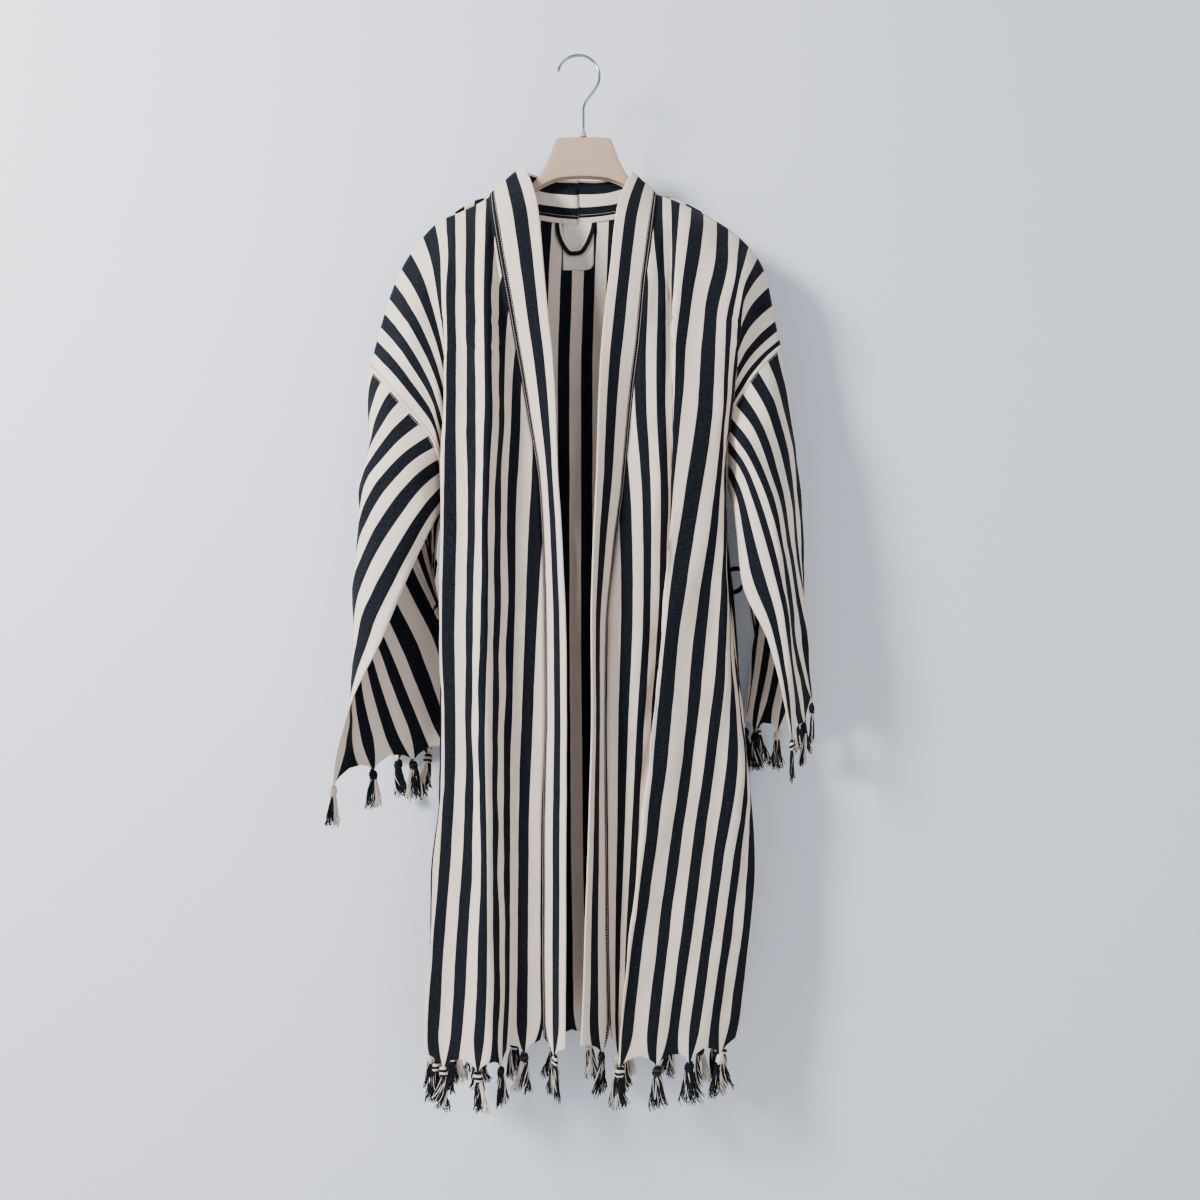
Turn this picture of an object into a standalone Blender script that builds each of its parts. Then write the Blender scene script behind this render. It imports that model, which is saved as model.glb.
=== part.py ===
"""A striped, open-front robe with knotted fringe, hanging on a coat hanger.

Metres, +Z up. The origin is the inner top of the hanger's hook. The fronts face -Y.
Each panel is worked out from its folds: a fold gives, level by level from the shoulder to
the hem, the cloth's own width coordinate, its place across and its depth, in millimetres.
"""

import math
import random
from collections import namedtuple

import bmesh
import bpy
from mathutils import Vector

MM = 0.001
CLOTH = 1.6          # wall of one layer of cloth
BAND = 3.0           # wall of the folded front band
SEAM_GAP = 0.9       # sewn edges lie this far apart
SHOULDER_SPLIT = 1.15  # each side of a shoulder or side seam, from its middle
BAND_WIDTH = 50.0
STRIP_DROP = 3.0     # fringe strip under each hem
STRIP_GAP = 0.8
TASSEL_LENGTH = 46.0
STRAND_SPREAD = 0.9
ARMHOLE_LEVEL = 0.2  # where the armhole ends on the side seam
SLEEVE_CLEAR = 2.8   # from the armhole's edge to the middle of the sleeve's wall
SLEEVE_HALF = 190.0  # cloth from the top of the sleeve to its underarm edge

# Levels of a fold, as parts of the way from the shoulder to the hem
LEVELS = (0, 0.06, 0.12, 0.18, 0.25, 0.37, 0.5, 0.62, 0.75, 0.88, 1)
# Rows of a panel, closer together over the shoulder
ROWS = (0, 0.012, 0.03, 0.055, 0.085, 0.12, 0.155, 0.19, 0.23, 0.28, 0.35, 0.43, 0.52, 0.61,
        0.70, 0.79, 0.89, 1)

Fold = namedtuple("Fold", "name top hem cloth across depth")

LEFT_FRONT = (
    Fold("band seam", -180, -1272,
         cloth=(118, 112, 92, 68, 43, 23, 10, 3, 1, 0, 0),
         across=(-115, -105, -93, -81, -67, -47, -42, -41, -45, -45, -43),
         depth=(-1.15, -34, -38, -34, -28, -24, -24, -24, -24, -24, -24)),
    Fold("valley", -183, -1276,
         cloth=(120, 114, 97, 88, 78, 60, 55, 50, 43, 42, 41),
         across=(-116, -107, -100, -96, -92, -87, -84, -84, -82, -82, -84),
         depth=(-1.15, -33, -34, -32, -31, -30, -30, -30, -30, -30, -30)),
    Fold("ridge", -186, -1284,
         cloth=(127, 124, 122, 122, 122, 120, 119, 116, 115, 112, 92),
         across=(-120, -114, -113, -112, -111, -113, -114, -116, -113, -111, -104),
         depth=(-1.15, -38, -50, -56, -60, -62, -62, -62, -62, -62, -60)),
    Fold("chest", -203, -1284,
         cloth=(165,) * 11,
         across=(-153, -147, -146, -145, -144, -142, -144, -144, -149, -159, -167),
         depth=(-1.15, -34, -42, -44, -46, -46, -46, -46, -46, -46, -46)),
    Fold("hanger end", -214, -1282,
         cloth=(197,) * 11,
         across=(-179, -169, -168, -166, -167, -171, -174, -170, -176, -186, -194),
         depth=(-1.15, -28, -36, -40, -42, -42, -42, -42, -42, -42, -42)),
    Fold("inner fold", -277, -1282,
         cloth=(251,) * 11,
         across=(-230, -196, -175, -163, -141, -113, -111, -113, -118, -123, -126),
         depth=(-1.15, -32, -30, -22, -18, -16, -16, -16, -16, -16, -16)),
    Fold("drop", -353, -1284,
         cloth=(313,) * 11,
         across=(-257, -212, -181, -169, -159, -150, -150, -153, -158, -163, -166),
         depth=(-1.15, -34, -32, -18, -12, -9, -8, -8, -8, -8, -8)),
    Fold("side seam", -405, -1289,
         cloth=(363,) * 11,
         across=(-270, -220, -180, -170, -172, -175, -179, -180, -192, -193, -196),
         depth=(-1.15, -34, -30, -12, -4, -1.15, -1.15, -1.15, -1.15, -1.15, -1.15)),
)

RIGHT_FRONT = (
    Fold("band seam", -180, -1272,
         cloth=(88, 79, 61, 57, 46, 22, 2, 0, 0, 0, 0),
         across=(101, 94, 85, 79, 69, 56, 37, 34, 36, 38, 42),
         depth=(-1.15, -34, -38, -34, -28, -24, -24, -24, -24, -24, -24)),
    Fold("under fold", -183, -1277,
         cloth=(98, 92, 82, 80, 75, 62, 55, 50, 42, 36, 30),
         across=(111, 105, 102, 99, 95, 91, 86, 75, 64, 55, 50),
         depth=(-1.15, -31, -36, -34, -32, -30, -30, -28, -26, -24, -24)),
    Fold("valley", -186, -1277,
         cloth=(112, 110, 112, 113, 118, 120, 125, 125, 115, 105, 95),
         across=(120, 118, 118, 119, 120, 122, 119, 108, 92, 77, 61),
         depth=(-1.15, -30, -32, -32, -32, -22, -16, -14, -14, -14, -14)),
    Fold("ridge", -191, -1277,
         cloth=(127, 127, 128, 133, 141, 154, 164, 164, 164, 166, 166),
         across=(132, 125, 121, 119, 120, 116, 105, 93, 79, 63, 49),
         depth=(-1.15, -34, -44, -50, -55, -58, -60, -60, -60, -60, -58)),
    Fold("chest", -236, -1282,
         cloth=(205,) * 11,
         across=(209, 199, 186, 183, 178, 163, 144, 133, 114, 97, 82),
         depth=(-1.15, -36, -44, -46, -48, -48, -48, -48, -48, -48, -48)),
    Fold("hanger end", -279, -1282,
         cloth=(251,) * 11,
         across=(241, 207, 200, 195, 186, 188, 186, 174, 156, 138, 122),
         depth=(-1.15, -34, -35, -35, -36, -37, -38, -38, -38, -40, -40)),
    Fold("drop", -347, -1279,
         cloth=(300,) * 11,
         across=(256, 208, 188, 184, 184, 193, 202, 212, 197, 180, 164),
         depth=(-1.15, -26, -17, -11, -10, -12, -17, -26, -30, -34, -34)),
    Fold("side seam", -377, -1276,
         cloth=(348,) * 11,
         across=(263, 215, 190, 192, 193, 203, 211, 220, 229, 219, 206),
         depth=(-1.15, -25, -19, -9, -3, -1.15, -1.15, -6, -10, -12, -12)),
)

# The back's cloth coordinate is measured from its middle, negative on the left
BACK = (
    Fold("left side seam", -405, -1289,
         cloth=(-363,) * 11,
         across=(-270, -220, -180, -170, -172, -175, -179, -180, -192, -193, -196),
         depth=(1.15, 14, 12, 6, 3, 1.15, 1.15, 1.15, 1.15, 1.15, 1.15)),
    Fold("left drop", -353, -1284,
         cloth=(-310,) * 11,
         across=(-257, -212, -181, -168, -157, -148, -148, -151, -156, -161, -164),
         depth=(1.15, 15, 12, 7, 4, 3, 3, 3, 3, 3, 3)),
    Fold("left inner fold", -277, -1282,
         cloth=(-255,) * 11,
         across=(-230, -195, -172, -158, -138, -114, -112, -114, -119, -124, -127),
         depth=(1.15, 15, 15, 11, 8, 6, 6, 6, 6, 6, 6)),
    Fold("left hanger end", -212, -1282,
         cloth=(-190,) * 11,
         across=(-175, -176, -177, -178, -179, -180, -181, -182, -184, -187, -190),
         depth=(1.15, 15, 19, 20, 20, 19, 19, 19, 19, 19, 19)),
    Fold("left blade", -183, -1282,
         cloth=(-120,) * 11,
         across=(-117, -123, -126, -127, -128, -128, -129, -130, -131, -133, -134),
         depth=(1.15, 14, 20, 23, 25, 26, 26, 26, 26, 26, 26)),
    Fold("left middle", -203, -1282,
         cloth=(-60,) * 11,
         across=(-60, -65, -68, -70, -70, -70, -70, -70, -69, -67, -65),
         depth=(13, 14, 16, 18, 18, 19, 19, 18, 17, 17, 18)),
    Fold("centre", -208, -1282,
         cloth=(0,) * 11,
         across=(-3, -6, -8, -10, -10, -10, -10, -9, -8, -6, -4),
         depth=(14, 15, 16, 16, 17, 17, 16, 16, 16, 16, 16)),
    Fold("right middle", -203, -1282,
         cloth=(60,) * 11,
         across=(55, 53, 51, 50, 50, 50, 50, 51, 53, 55, 57),
         depth=(13, 14, 16, 18, 18, 19, 20, 19, 18, 18, 19)),
    Fold("right blade", -180.5, -1282,
         cloth=(108,) * 11,
         across=(103, 106, 108, 109, 110, 110, 110, 111, 112, 114, 115),
         depth=(1.15, 14, 20, 23, 25, 26, 26, 26, 26, 26, 26)),
    Fold("right hanger end", -232, -1282,
         cloth=(190,) * 11,
         across=(204, 196, 189, 184, 182, 184, 188, 194, 198, 198, 194),
         depth=(1.15, 15, 19, 20, 20, 19, 19, 19, 19, 19, 19)),
    Fold("right inner fold", -279, -1282,
         cloth=(245,) * 11,
         across=(241, 206, 188, 174, 160, 146, 146, 150, 155, 158, 155),
         depth=(1.15, 15, 15, 11, 8, 6, 6, 6, 5, 5, 5)),
    Fold("right drop", -347, -1279,
         cloth=(300,) * 11,
         across=(256, 211, 189, 185, 183, 181, 184, 190, 196, 192, 184),
         depth=(1.15, 15, 12, 7, 4, 3, 3, 0, -2, -3, -3)),
    Fold("right side seam", -377, -1276,
         cloth=(354,) * 11,
         across=(263, 215, 190, 192, 193, 203, 211, 220, 229, 219, 206),
         depth=(1.15, 14, 12, 6, 3, 1.15, 1.15, -3.7, -7.7, -9.7, -9.7)),
)

# The folded edge of the band, level by level like a fold
LEFT_EDGE = Fold("left band edge", -144, -1268,
                 cloth=(0,) * 11,
                 across=(-70, -50, -43, -37, -29, -24, -15, -13, -14, -14, -15),
                 depth=(-6, -38, -46, -48, -50, -54, -60, -62, -62, -62, -62))
RIGHT_EDGE = Fold("right band edge", -153, -1264,
                  cloth=(0,) * 11,
                  across=(69, 48, 41, 33, 27, 23, 17, 18, 14, 9, 4),
                  depth=(-6, -38, -46, -48, -50, -54, -58, -60, -60, -60, -60))
# Back neck, from the shoulder to the middle: seam point, then edge point (x, y, z)
NECK_MIDDLE = ((-3, 14, -207), (-3, 10.5, -159))
LEFT_NECK = (((-116, 5, -181), (-68, 7, -146)), ((-96, 10, -190), (-52, 9.5, -151)),
             ((-60, 13, -202), (-28, 10, -156)))
RIGHT_NECK = (((103, 5, -181), (66, 7, -152)), ((84, 10, -190), (50, 9.5, -154)),
              ((50, 13, -202), (24, 10, -157)))

# Sleeves: along each line of the cloth, its places from the armhole to the hem (x, y, z).
# The key is the distance in the cloth from the top of the sleeve, positive on the front.
SLEEVE_LEVELS = (0, 0.12, 0.3, 0.5, 0.75, 1)
LEFT_SLEEVE = {
    -190: ((-174, 6, -566), (-187, 24, -620), (-200, 51, -687), (-224, 54, -761), (-258, 56, -843),
           (-282, 56, -925)),
    -120: ((-193, 18, -499), (-204, 22, -560), (-194, 40, -633), (-205, 49, -721), (-218, 52, -816),
           (-224, 53, -914)),
    -60: ((-231, 16, -452), (-236, 24, -508), (-214, 38, -587), (-192, 43, -694), (-180, 46, -795),
          (-175, 47, -902)),
    0: ((-270, 0, -405), (-277, 6, -456), (-256, 20, -535), (-225, 30, -641), (-178, 37, -761),
        (-149, 39, -892)),
    60: ((-220, -34, -463), (-251, -38, -503), (-285, -8, -574), (-275, 14, -681), (-237, 24, -786),
         (-189, 31, -907)),
    122: ((-183, -32, -508), (-213, -50, -550), (-259, -45, -613), (-291, -12, -707),
          (-278, 4, -811), (-251, 12, -919)),
    156: ((-175, -20, -541), (-197, -46, -585), (-235, -55, -649), (-276, -40, -735),
          (-291, -15, -835), (-282, -8, -925)),
    190: ((-171, -6, -567), (-187, -34, -619), (-212, -52, -682), (-239, -60, -751),
          (-282, -52, -837), (-308, -45, -933)),
}
RIGHT_SLEEVE = {
    -190: ((198, 6, -537), (211, 22, -601), (221, 34, -667), (233, 48, -734), (252, 58, -816),
           (270, 61, -873)),
    -120: ((200, 18, -476), (217, 28, -534), (232, 36, -613), (241, 43, -693), (234, 49, -788),
           (223, 51, -875)),
    -60: ((223, 16, -423), (248, 26, -481), (266, 32, -560), (277, 36, -653), (264, 40, -774),
          (241, 42, -880)),
    0: ((264, 0, -376), (274, 4, -435), (286, 12, -523), (296, 18, -628), (294, 24, -760),
        (279, 28, -870)),
    60: ((215, -36, -436), (239, -42, -488), (261, -36, -562), (278, -12, -655), (297, 2, -759),
         (305, 8, -835)),
    100: ((196, -34, -460), (217, -50, -515), (246, -55, -589), (265, -40, -676), (280, -18, -771),
          (298, -8, -841)),
    150: ((193, -22, -496), (208, -44, -557), (231, -56, -639), (250, -60, -719), (264, -50, -807),
          (275, -32, -875)),
    190: ((196, -8, -539), (199, -32, -599), (205, -46, -682), (236, -56, -758), (256, -56, -834),
          (264, -50, -877)),
}
SLEEVE_PARTS = 3
SLEEVE_ROWS = (0, 0.05, 0.1, 0.17, 0.25, 0.34, 0.43, 0.52, 0.62, 0.72, 0.82, 0.91, 1)

# Tassels: in the cloth's width coordinate, the first, the last and the step between them
TASSEL_STEP = 48
TASSELS = {
    "fringe_front_left": (-26, 358), "fringe_front_right": (-16, 320),
    "fringe_back": (-317, 307), "fringe_sleeve_left": (-170, 166),
    "fringe_sleeve_right": (-164, 172),
}

# Hanger
HOOK_WIRE = 1.8      # radius
HOOK_RADIUS = 27.3   # of the bend's centre line
HOOK_START = 162.0   # degrees, the open end
HOOK_END = -28.0
STEM_X = 6.4
STEM_TOP = -65.0
NECK_TOP = -97.0
BODY_TOP = -105.5
SOCKET_RADIUS = 5.0
# Stations of the hanger's body: across, top, bottom, half thickness
HANGER_STATIONS = (
    (-27.5, -106.5, -160.5, 5.5), (-30, -109, -161.5, 5.5), (-38, -131, -164.5, 5.5),
    (-50, -154, -171, 5.4), (-62, -167, -178.5, 4.6), (-75, -175, -191, 2.8),
    (-92, -181, -199, 2.6),
)
HANGER_MIDDLE = ((-14, -105.5, -158.5, 5.5), (6, -105.5, -157.5, 5.5), (26, -105.5, -158.5, 5.5))
ARM_DEPTH = 20.0
ARM_CLEAR = 2.6

NAVY = (0.020, 0.032, 0.050)
CREAM = (0.66, 0.55, 0.45)
BEIGE = (0.58, 0.43, 0.33)
STEEL = (0.62, 0.63, 0.64)
PAPER = (0.82, 0.80, 0.72)


def clear_scene():
    for thing in list(bpy.data.objects):
        bpy.data.objects.remove(thing)


def slopes(xs, ys):
    """Slopes of a smooth curve that never overshoots its points."""
    count = len(xs)
    steps = [xs[i + 1] - xs[i] for i in range(count - 1)]
    rise = [(ys[i + 1] - ys[i]) / steps[i] for i in range(count - 1)]
    if count == 2:
        return [rise[0], rise[0]]
    out = [0.0] * count
    for i in range(1, count - 1):
        if rise[i - 1] * rise[i] > 0:
            before = 2 * steps[i] + steps[i - 1]
            after = steps[i] + 2 * steps[i - 1]
            out[i] = (before + after) / (before / rise[i - 1] + after / rise[i])
    for end, near, far in ((0, 0, 1), (count - 1, count - 2, count - 3)):
        first, second = steps[near], steps[far]
        slope = ((2 * first + second) * rise[near] - first * rise[far]) / (first + second)
        if slope * rise[near] <= 0:
            slope = 0.0
        elif rise[near] * rise[far] <= 0 and abs(slope) > 3 * abs(rise[near]):
            slope = 3 * rise[near]
        out[end] = slope
    return out


def smooth(xs, ys, x):
    """The smooth curve through the points (xs, ys), read at x."""
    grades = slopes(xs, ys)
    i = 0
    while i < len(xs) - 2 and x > xs[i + 1]:
        i += 1
    step = xs[i + 1] - xs[i]
    part = (x - xs[i]) / step
    square, cube = part * part, part ** 3
    return ((2 * cube - 3 * square + 1) * ys[i] + (cube - 2 * square + part) * step * grades[i]
            + (3 * square - 2 * cube) * ys[i + 1] + (cube - square) * step * grades[i + 1])


def on_fold(fold, level):
    """Place of a fold at a level, as (x, y, z) in millimetres."""
    return Vector((smooth(LEVELS, fold.across, level), smooth(LEVELS, fold.depth, level),
                   fold.top + (fold.hem - fold.top) * level))


def across_row(widths, places, parts):
    """Points of one row: a smooth curve over the cloth's width, each gap cut into parts."""
    axes = [[place[k] for place in places] for k in range(3)]
    row = []
    for i in range(len(widths) - 1):
        for j in range(parts[i]):
            width = widths[i] + (widths[i + 1] - widths[i]) * j / parts[i]
            row.append(Vector([smooth(widths, axis, width) for axis in axes]))
    row.append(Vector(places[-1]))
    return row


def pull_in(row, first, last):
    """Shortens a row at its ends, so that its edges keep clear of the next piece."""
    if first:
        row[0] = row[0] + (row[1] - row[0]).normalized() * first
    if last:
        row[-1] = row[-1] + (row[-2] - row[-1]).normalized() * last
    return row


def panel_rows(folds, parts, first=1.7, last=0.0):
    rows = []
    for level in ROWS:
        widths = [smooth(LEVELS, fold.cloth, level) for fold in folds]
        places = [on_fold(fold, level) for fold in folds]
        rows.append(pull_in(across_row(widths, places, parts), first, last))
    return rows


def material(name, colour, roughness=0.9, metallic=0.0):
    made = bpy.data.materials.get(name) or bpy.data.materials.new(name)
    made.use_nodes = True
    shader = made.node_tree.nodes["Principled BSDF"]
    shader.inputs["Base Color"].default_value = (*colour, 1)
    shader.inputs["Roughness"].default_value = roughness
    shader.inputs["Metallic"].default_value = metallic
    return made


def add_object(name, bm, finish):
    bmesh.ops.recalc_face_normals(bm, faces=bm.faces)
    mesh = bpy.data.meshes.new(name)
    bm.to_mesh(mesh)
    bm.free()
    mesh.shade_smooth()
    mesh.materials.append(finish)
    made = bpy.data.objects.new(name, mesh)
    bpy.context.collection.objects.link(made)
    return made


def run_of(row, j):
    """Direction of a row at one of its points, halfway between its two sides there."""
    before = row[j] - row[j - 1] if j else row[1] - row[0]
    after = row[j + 1] - row[j] if j < len(row) - 1 else before
    return before.normalized() + after.normalized()


def grid_normals(rows):
    """Unit normals of a grid of points, from its neighbours."""
    normals = []
    for i, row in enumerate(rows):
        line = []
        for j in range(len(row)):
            along = run_of(row, j)
            down = rows[min(i + 1, len(rows) - 1)][j] - rows[max(i - 1, 0)][j]
            normal = along.cross(down)
            if i == len(rows) - 1:
                normal.z = 0
            line.append(normal.normalized())
        normals.append(line)
    return normals


def wall(name, rows, thickness, finish):
    """A closed wall of even thickness round a grid of points in millimetres."""
    normals = grid_normals(rows)
    bm = bmesh.new()
    skins = []
    for side in (0.5, -0.5):
        skins.append([[bm.verts.new((p + n * thickness * side) * MM) for p, n in zip(row, line)]
                      for row, line in zip(rows, normals)])
    high, wide = len(rows), len(rows[0])
    for skin in skins:
        for i in range(high - 1):
            for j in range(wide - 1):
                bm.faces.new((skin[i][j], skin[i][j + 1], skin[i + 1][j + 1], skin[i + 1][j]))
    front, back = skins
    rim = ([(0, j) for j in range(wide)] + [(i, wide - 1) for i in range(1, high)]
           + [(high - 1, j) for j in range(wide - 2, -1, -1)]
           + [(i, 0) for i in range(high - 2, 0, -1)])
    for (i, j), (k, m) in zip(rim, rim[1:] + rim[:1]):
        bm.faces.new((front[i][j], back[i][j], back[k][m], front[k][m]))
    return add_object(name, bm, finish)


def tube_faces(bm, rings):
    for upper, lower in zip(rings, rings[1:]):
        count = len(upper)
        for i in range(count):
            j = (i + 1) % count
            bm.faces.new((upper[i], upper[j], lower[j], lower[i]))


def tassel(bm, root, length, drift, chance):
    """A knotted tassel of four strands, grown from the four points of a strip's underside."""
    centre = sum((v.co for v in root), Vector()) / 4
    across = (root[1].co - root[0].co).normalized()
    outward = Vector((-across.y, across.x, 0)) * (1 if (root[2].co - root[1].co).dot(
        Vector((-across.y, across.x, 0))) > 0 else -1)
    corners = ((-1, -1), (1, -1), (1, 1), (-1, 1))

    def ring(drop, width, depth):
        middle = centre + Vector((drift.x * drop / length, drift.y * drop / length, -drop)) * MM
        return [bm.verts.new(middle + (across * a * width + outward * b * depth) * MM)
                for a, b in corners]

    rings = [list(root), ring(6.0, 4.2, 3.6), ring(11.0, 2.6, 2.2)]
    tube_faces(bm, rings)
    neck = rings[-1]
    skirt = ring(18.0, 4.1, 3.6)
    middles = [bm.verts.new((skirt[i].co + skirt[(i + 1) % 4].co) / 2) for i in range(4)]
    hub = bm.verts.new(sum((v.co for v in skirt), Vector()) / 4)
    for i in range(4):
        j = (i + 1) % 4
        bm.faces.new((neck[i], neck[j], skirt[j], middles[i], skirt[i]))
    for i in range(4):
        strand = (skirt[i], middles[i], hub, middles[i - 1])
        core = sum((v.co for v in strand), Vector()) / 4
        push = (core - hub.co) * STRAND_SPREAD
        fall = Vector((drift.x, drift.y, -length)) * MM * (0.62 + 0.12 * chance.random())
        end = [bm.verts.new(core + push + fall + (v.co - core) * 0.5) for v in strand]
        tube_faces(bm, [strand, end])
        bm.faces.new(end)


def hem_widths(folds, parts):
    """The cloth's width coordinate at each point of a panel's hem."""
    ends = [fold.cloth[-1] for fold in folds]
    return [first + (second - first) * j / count
            for first, second, count in zip(ends, ends[1:], parts) for j in range(count)] + ends[-1:]


def fringe(name, row, widths, finish, seed):
    """A narrow strip just under a hem, with tassels fused to its underside."""
    chance = random.Random(seed)
    first, last = TASSELS[name]
    chosen = {min(range(len(row) - 1), key=lambda j: abs((widths[j] + widths[j + 1]) / 2 - place))
              for place in range(first, last + 1, TASSEL_STEP)}
    bm = bmesh.new()
    half = CLOTH / 2
    tops, sections = -STRIP_GAP, []
    for j, point in enumerate(row):
        along = run_of(row, j)
        side = Vector((-along.y, along.x, 0)).normalized() * half
        sections.append([bm.verts.new((point + side * sign + Vector((0, 0, drop))) * MM)
                         for sign, drop in ((1, tops), (-1, tops), (-1, tops - STRIP_DROP),
                                            (1, tops - STRIP_DROP))])
    for j in range(len(sections) - 1):
        first, second = sections[j], sections[j + 1]
        for a, b in ((0, 1), (1, 2), (3, 0)):
            bm.faces.new((first[a], first[b], second[b], second[a]))
        root = (first[2], second[2], second[3], first[3])
        if j in chosen:
            drift = Vector((chance.uniform(-1.4, 1.4), chance.uniform(-2.5, 1.5), 0))
            tassel(bm, root, TASSEL_LENGTH * chance.uniform(0.85, 1.1), drift, chance)
        else:
            bm.faces.new(root)
    bm.faces.new(sections[0])
    bm.faces.new(sections[-1])
    return add_object(name, bm, finish)


def band_rows(folds, edge, neck):
    """Rows of the front band, from the hem up over the shoulder to the middle of the neck."""
    pairs = [(on_fold(folds[0], level), on_fold(edge, level)) for level in reversed(ROWS)]
    pairs += [(Vector(seam), Vector(fold)) for seam, fold in neck]
    pairs.append(tuple(Vector(p) for p in NECK_MIDDLE))
    middle = 1 if folds is LEFT_FRONT else -1
    seam, fold = pairs[-1]
    shift = Vector((-middle * SEAM_GAP / 2, 0, 0))
    pairs[-1] = (seam + shift, fold + shift)
    rows = []
    for seam, fold in pairs:
        run = (fold - seam).normalized()
        start = seam + run * SEAM_GAP
        bulge = Vector((0, -1.5, 0))
        rows.append([start, start.lerp(fold, 0.5) + bulge, fold])
    return rows


def armhole(folds, side, distance):
    """Place on the armhole, at a distance in the cloth from the top of the sleeve."""
    seam = folds[side]
    return on_fold(seam, ARMHOLE_LEVEL * distance / SLEEVE_HALF)


def sleeve_top(front, back, back_side, width):
    """Edge of the sleeve on the armhole, just clear of the panels."""
    if width >= 0:
        place = armhole(front, -1, width)
    else:
        place = armhole(back, back_side, -width)
    if abs(width) < 1:
        place.y = 0
    return place + Vector((math.copysign(SLEEVE_CLEAR, place.x), 0, -0.6))


def sleeve_rows(lines, front, back, back_side):
    """Rows of a sleeve: its top row follows the armhole, the others the cloth's lines."""
    keys = sorted(lines)
    parts = [SLEEVE_PARTS] * (len(keys) - 1)
    widths = [keys[i] + (keys[i + 1] - keys[i]) * j / parts[i]
              for i in range(len(keys) - 1) for j in range(parts[i])] + [keys[-1]]
    tops = {key: sleeve_top(front, back, back_side, key) for key in keys}
    first = across_row(keys, [tops[key] for key in keys], parts)
    shifts = [sleeve_top(front, back, back_side, width) - place
              for width, place in zip(widths, first)]
    rows = []
    for level in SLEEVE_ROWS:
        places = []
        for key in keys:
            line = [tops[key]] + [Vector(p) for p in lines[key][1:]]
            places.append(Vector([smooth(SLEEVE_LEVELS, [p[k] for p in line], level)
                                  for k in range(3)]))
        fade = max(0.0, 1 - level / 0.25)
        rows.append([place + shift * fade
                     for place, shift in zip(across_row(keys, places, parts), shifts)])
    return rows


def loft(name, sections, finish):
    """A closed body through rings of points in millimetres, with flat ends."""
    bm = bmesh.new()
    rings = [[bm.verts.new(Vector(p) * MM) for p in section] for section in sections]
    tube_faces(bm, rings)
    bm.faces.new(rings[0])
    bm.faces.new(rings[-1])
    return add_object(name, bm, finish)


def blade(across, top, bottom, half):
    """Section of the hanger: a rounded bar with a narrower top edge."""
    tip, brow = (0.7, 0.36) if half < 4.5 else (1.6, 0.85)
    return ((across, -tip, top), (across, tip, top), (across, half * brow, top - 3.5),
            (across, half * (brow + 1) / 2, top - 9), (across, half, bottom + 2),
            (across, half * 0.6, bottom), (across, -half * 0.6, bottom),
            (across, -half, bottom + 2), (across, -half * (brow + 1) / 2, top - 9),
            (across, -half * brow, top - 3.5))


def shoulder_height(folds, across):
    """Height of the shoulder seam at a place across."""
    tops = sorted((fold.across[0], fold.top) for fold in folds[:5])
    return smooth([t[0] for t in tops], [t[1] for t in tops], across)


def hanger(finish):
    left = [blade(-185, shoulder_height(LEFT_FRONT, -185) - ARM_CLEAR - 5,
                  shoulder_height(LEFT_FRONT, -185) - ARM_CLEAR - 17, 2.6)]
    for across in (-172, -158, -144, -130, -118):
        top = shoulder_height(LEFT_FRONT, across) - ARM_CLEAR
        left.append(blade(across, top, top - ARM_DEPTH, 2.6))
    left.append(blade(-106, -184.5, -204, 2.4))
    for across, top, bottom, half in reversed(HANGER_STATIONS):
        left.append(blade(across, top, bottom, half))
    middle = [blade(*station) for station in HANGER_MIDDLE]
    right = [blade(2 * STEM_X - across, top, bottom, half)
             for across, top, bottom, half in HANGER_STATIONS[:-1]]
    right.append(blade(98, -184, -201, 2.2))
    for across in (112, 126, 140, 156, 172, 188):
        top = shoulder_height(RIGHT_FRONT, across) - ARM_CLEAR
        right.append(blade(across, top, top - ARM_DEPTH, 2.6))
    top = shoulder_height(RIGHT_FRONT, 200) - ARM_CLEAR
    right.append(blade(200, top - 5, top - 17, 2.6))
    return loft("hanger_body", left + middle + right, finish)


def socket(finish):
    bm = bmesh.new()
    height = (BODY_TOP - NECK_TOP) * MM
    bmesh.ops.create_cone(bm, cap_ends=True, segments=16, radius1=SOCKET_RADIUS * MM,
                          radius2=SOCKET_RADIUS * 0.6 * MM, depth=-height - 0.0003)
    middle = (BODY_TOP + NECK_TOP) / 2
    bmesh.ops.translate(bm, verts=bm.verts, vec=Vector((STEM_X, 0, middle + 0.15)) * MM)
    return add_object("hook_socket", bm, finish)


def hook(finish):
    centre = -(HOOK_RADIUS - HOOK_WIRE)
    points = []
    steps = 22
    for i in range(steps + 1):
        angle = math.radians(HOOK_START + (HOOK_END - HOOK_START) * i / steps)
        points.append((HOOK_RADIUS * math.cos(angle), 0, centre + HOOK_RADIUS * math.sin(angle)))
    points += [(15.5, 0, -50.5), (8.6, 0, -61.5), (STEM_X, 0, STEM_TOP - 3), (STEM_X, 0, -82),
               (STEM_X, 0, NECK_TOP + 0.6)]
    curve = bpy.data.curves.new("hook", "CURVE")
    curve.dimensions = "3D"
    curve.bevel_depth = HOOK_WIRE * MM
    curve.bevel_resolution = 2
    curve.use_fill_caps = True
    line = curve.splines.new("POLY")
    line.points.add(len(points) - 1)
    for point, place in zip(line.points, points):
        point.co = (*(c * MM for c in place), 1)
    curve.materials.append(finish)
    made = bpy.data.objects.new("hook", curve)
    bpy.context.collection.objects.link(made)
    return made


def ribbon(name, centre, side, thickness, finish):
    """A strip of cloth along a line of centres, with the same side vector all along."""
    side = Vector(side)
    rows = [[Vector(p) - side, Vector(p) + side] for p in centre]
    return wall(name, rows, thickness, finish)


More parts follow.
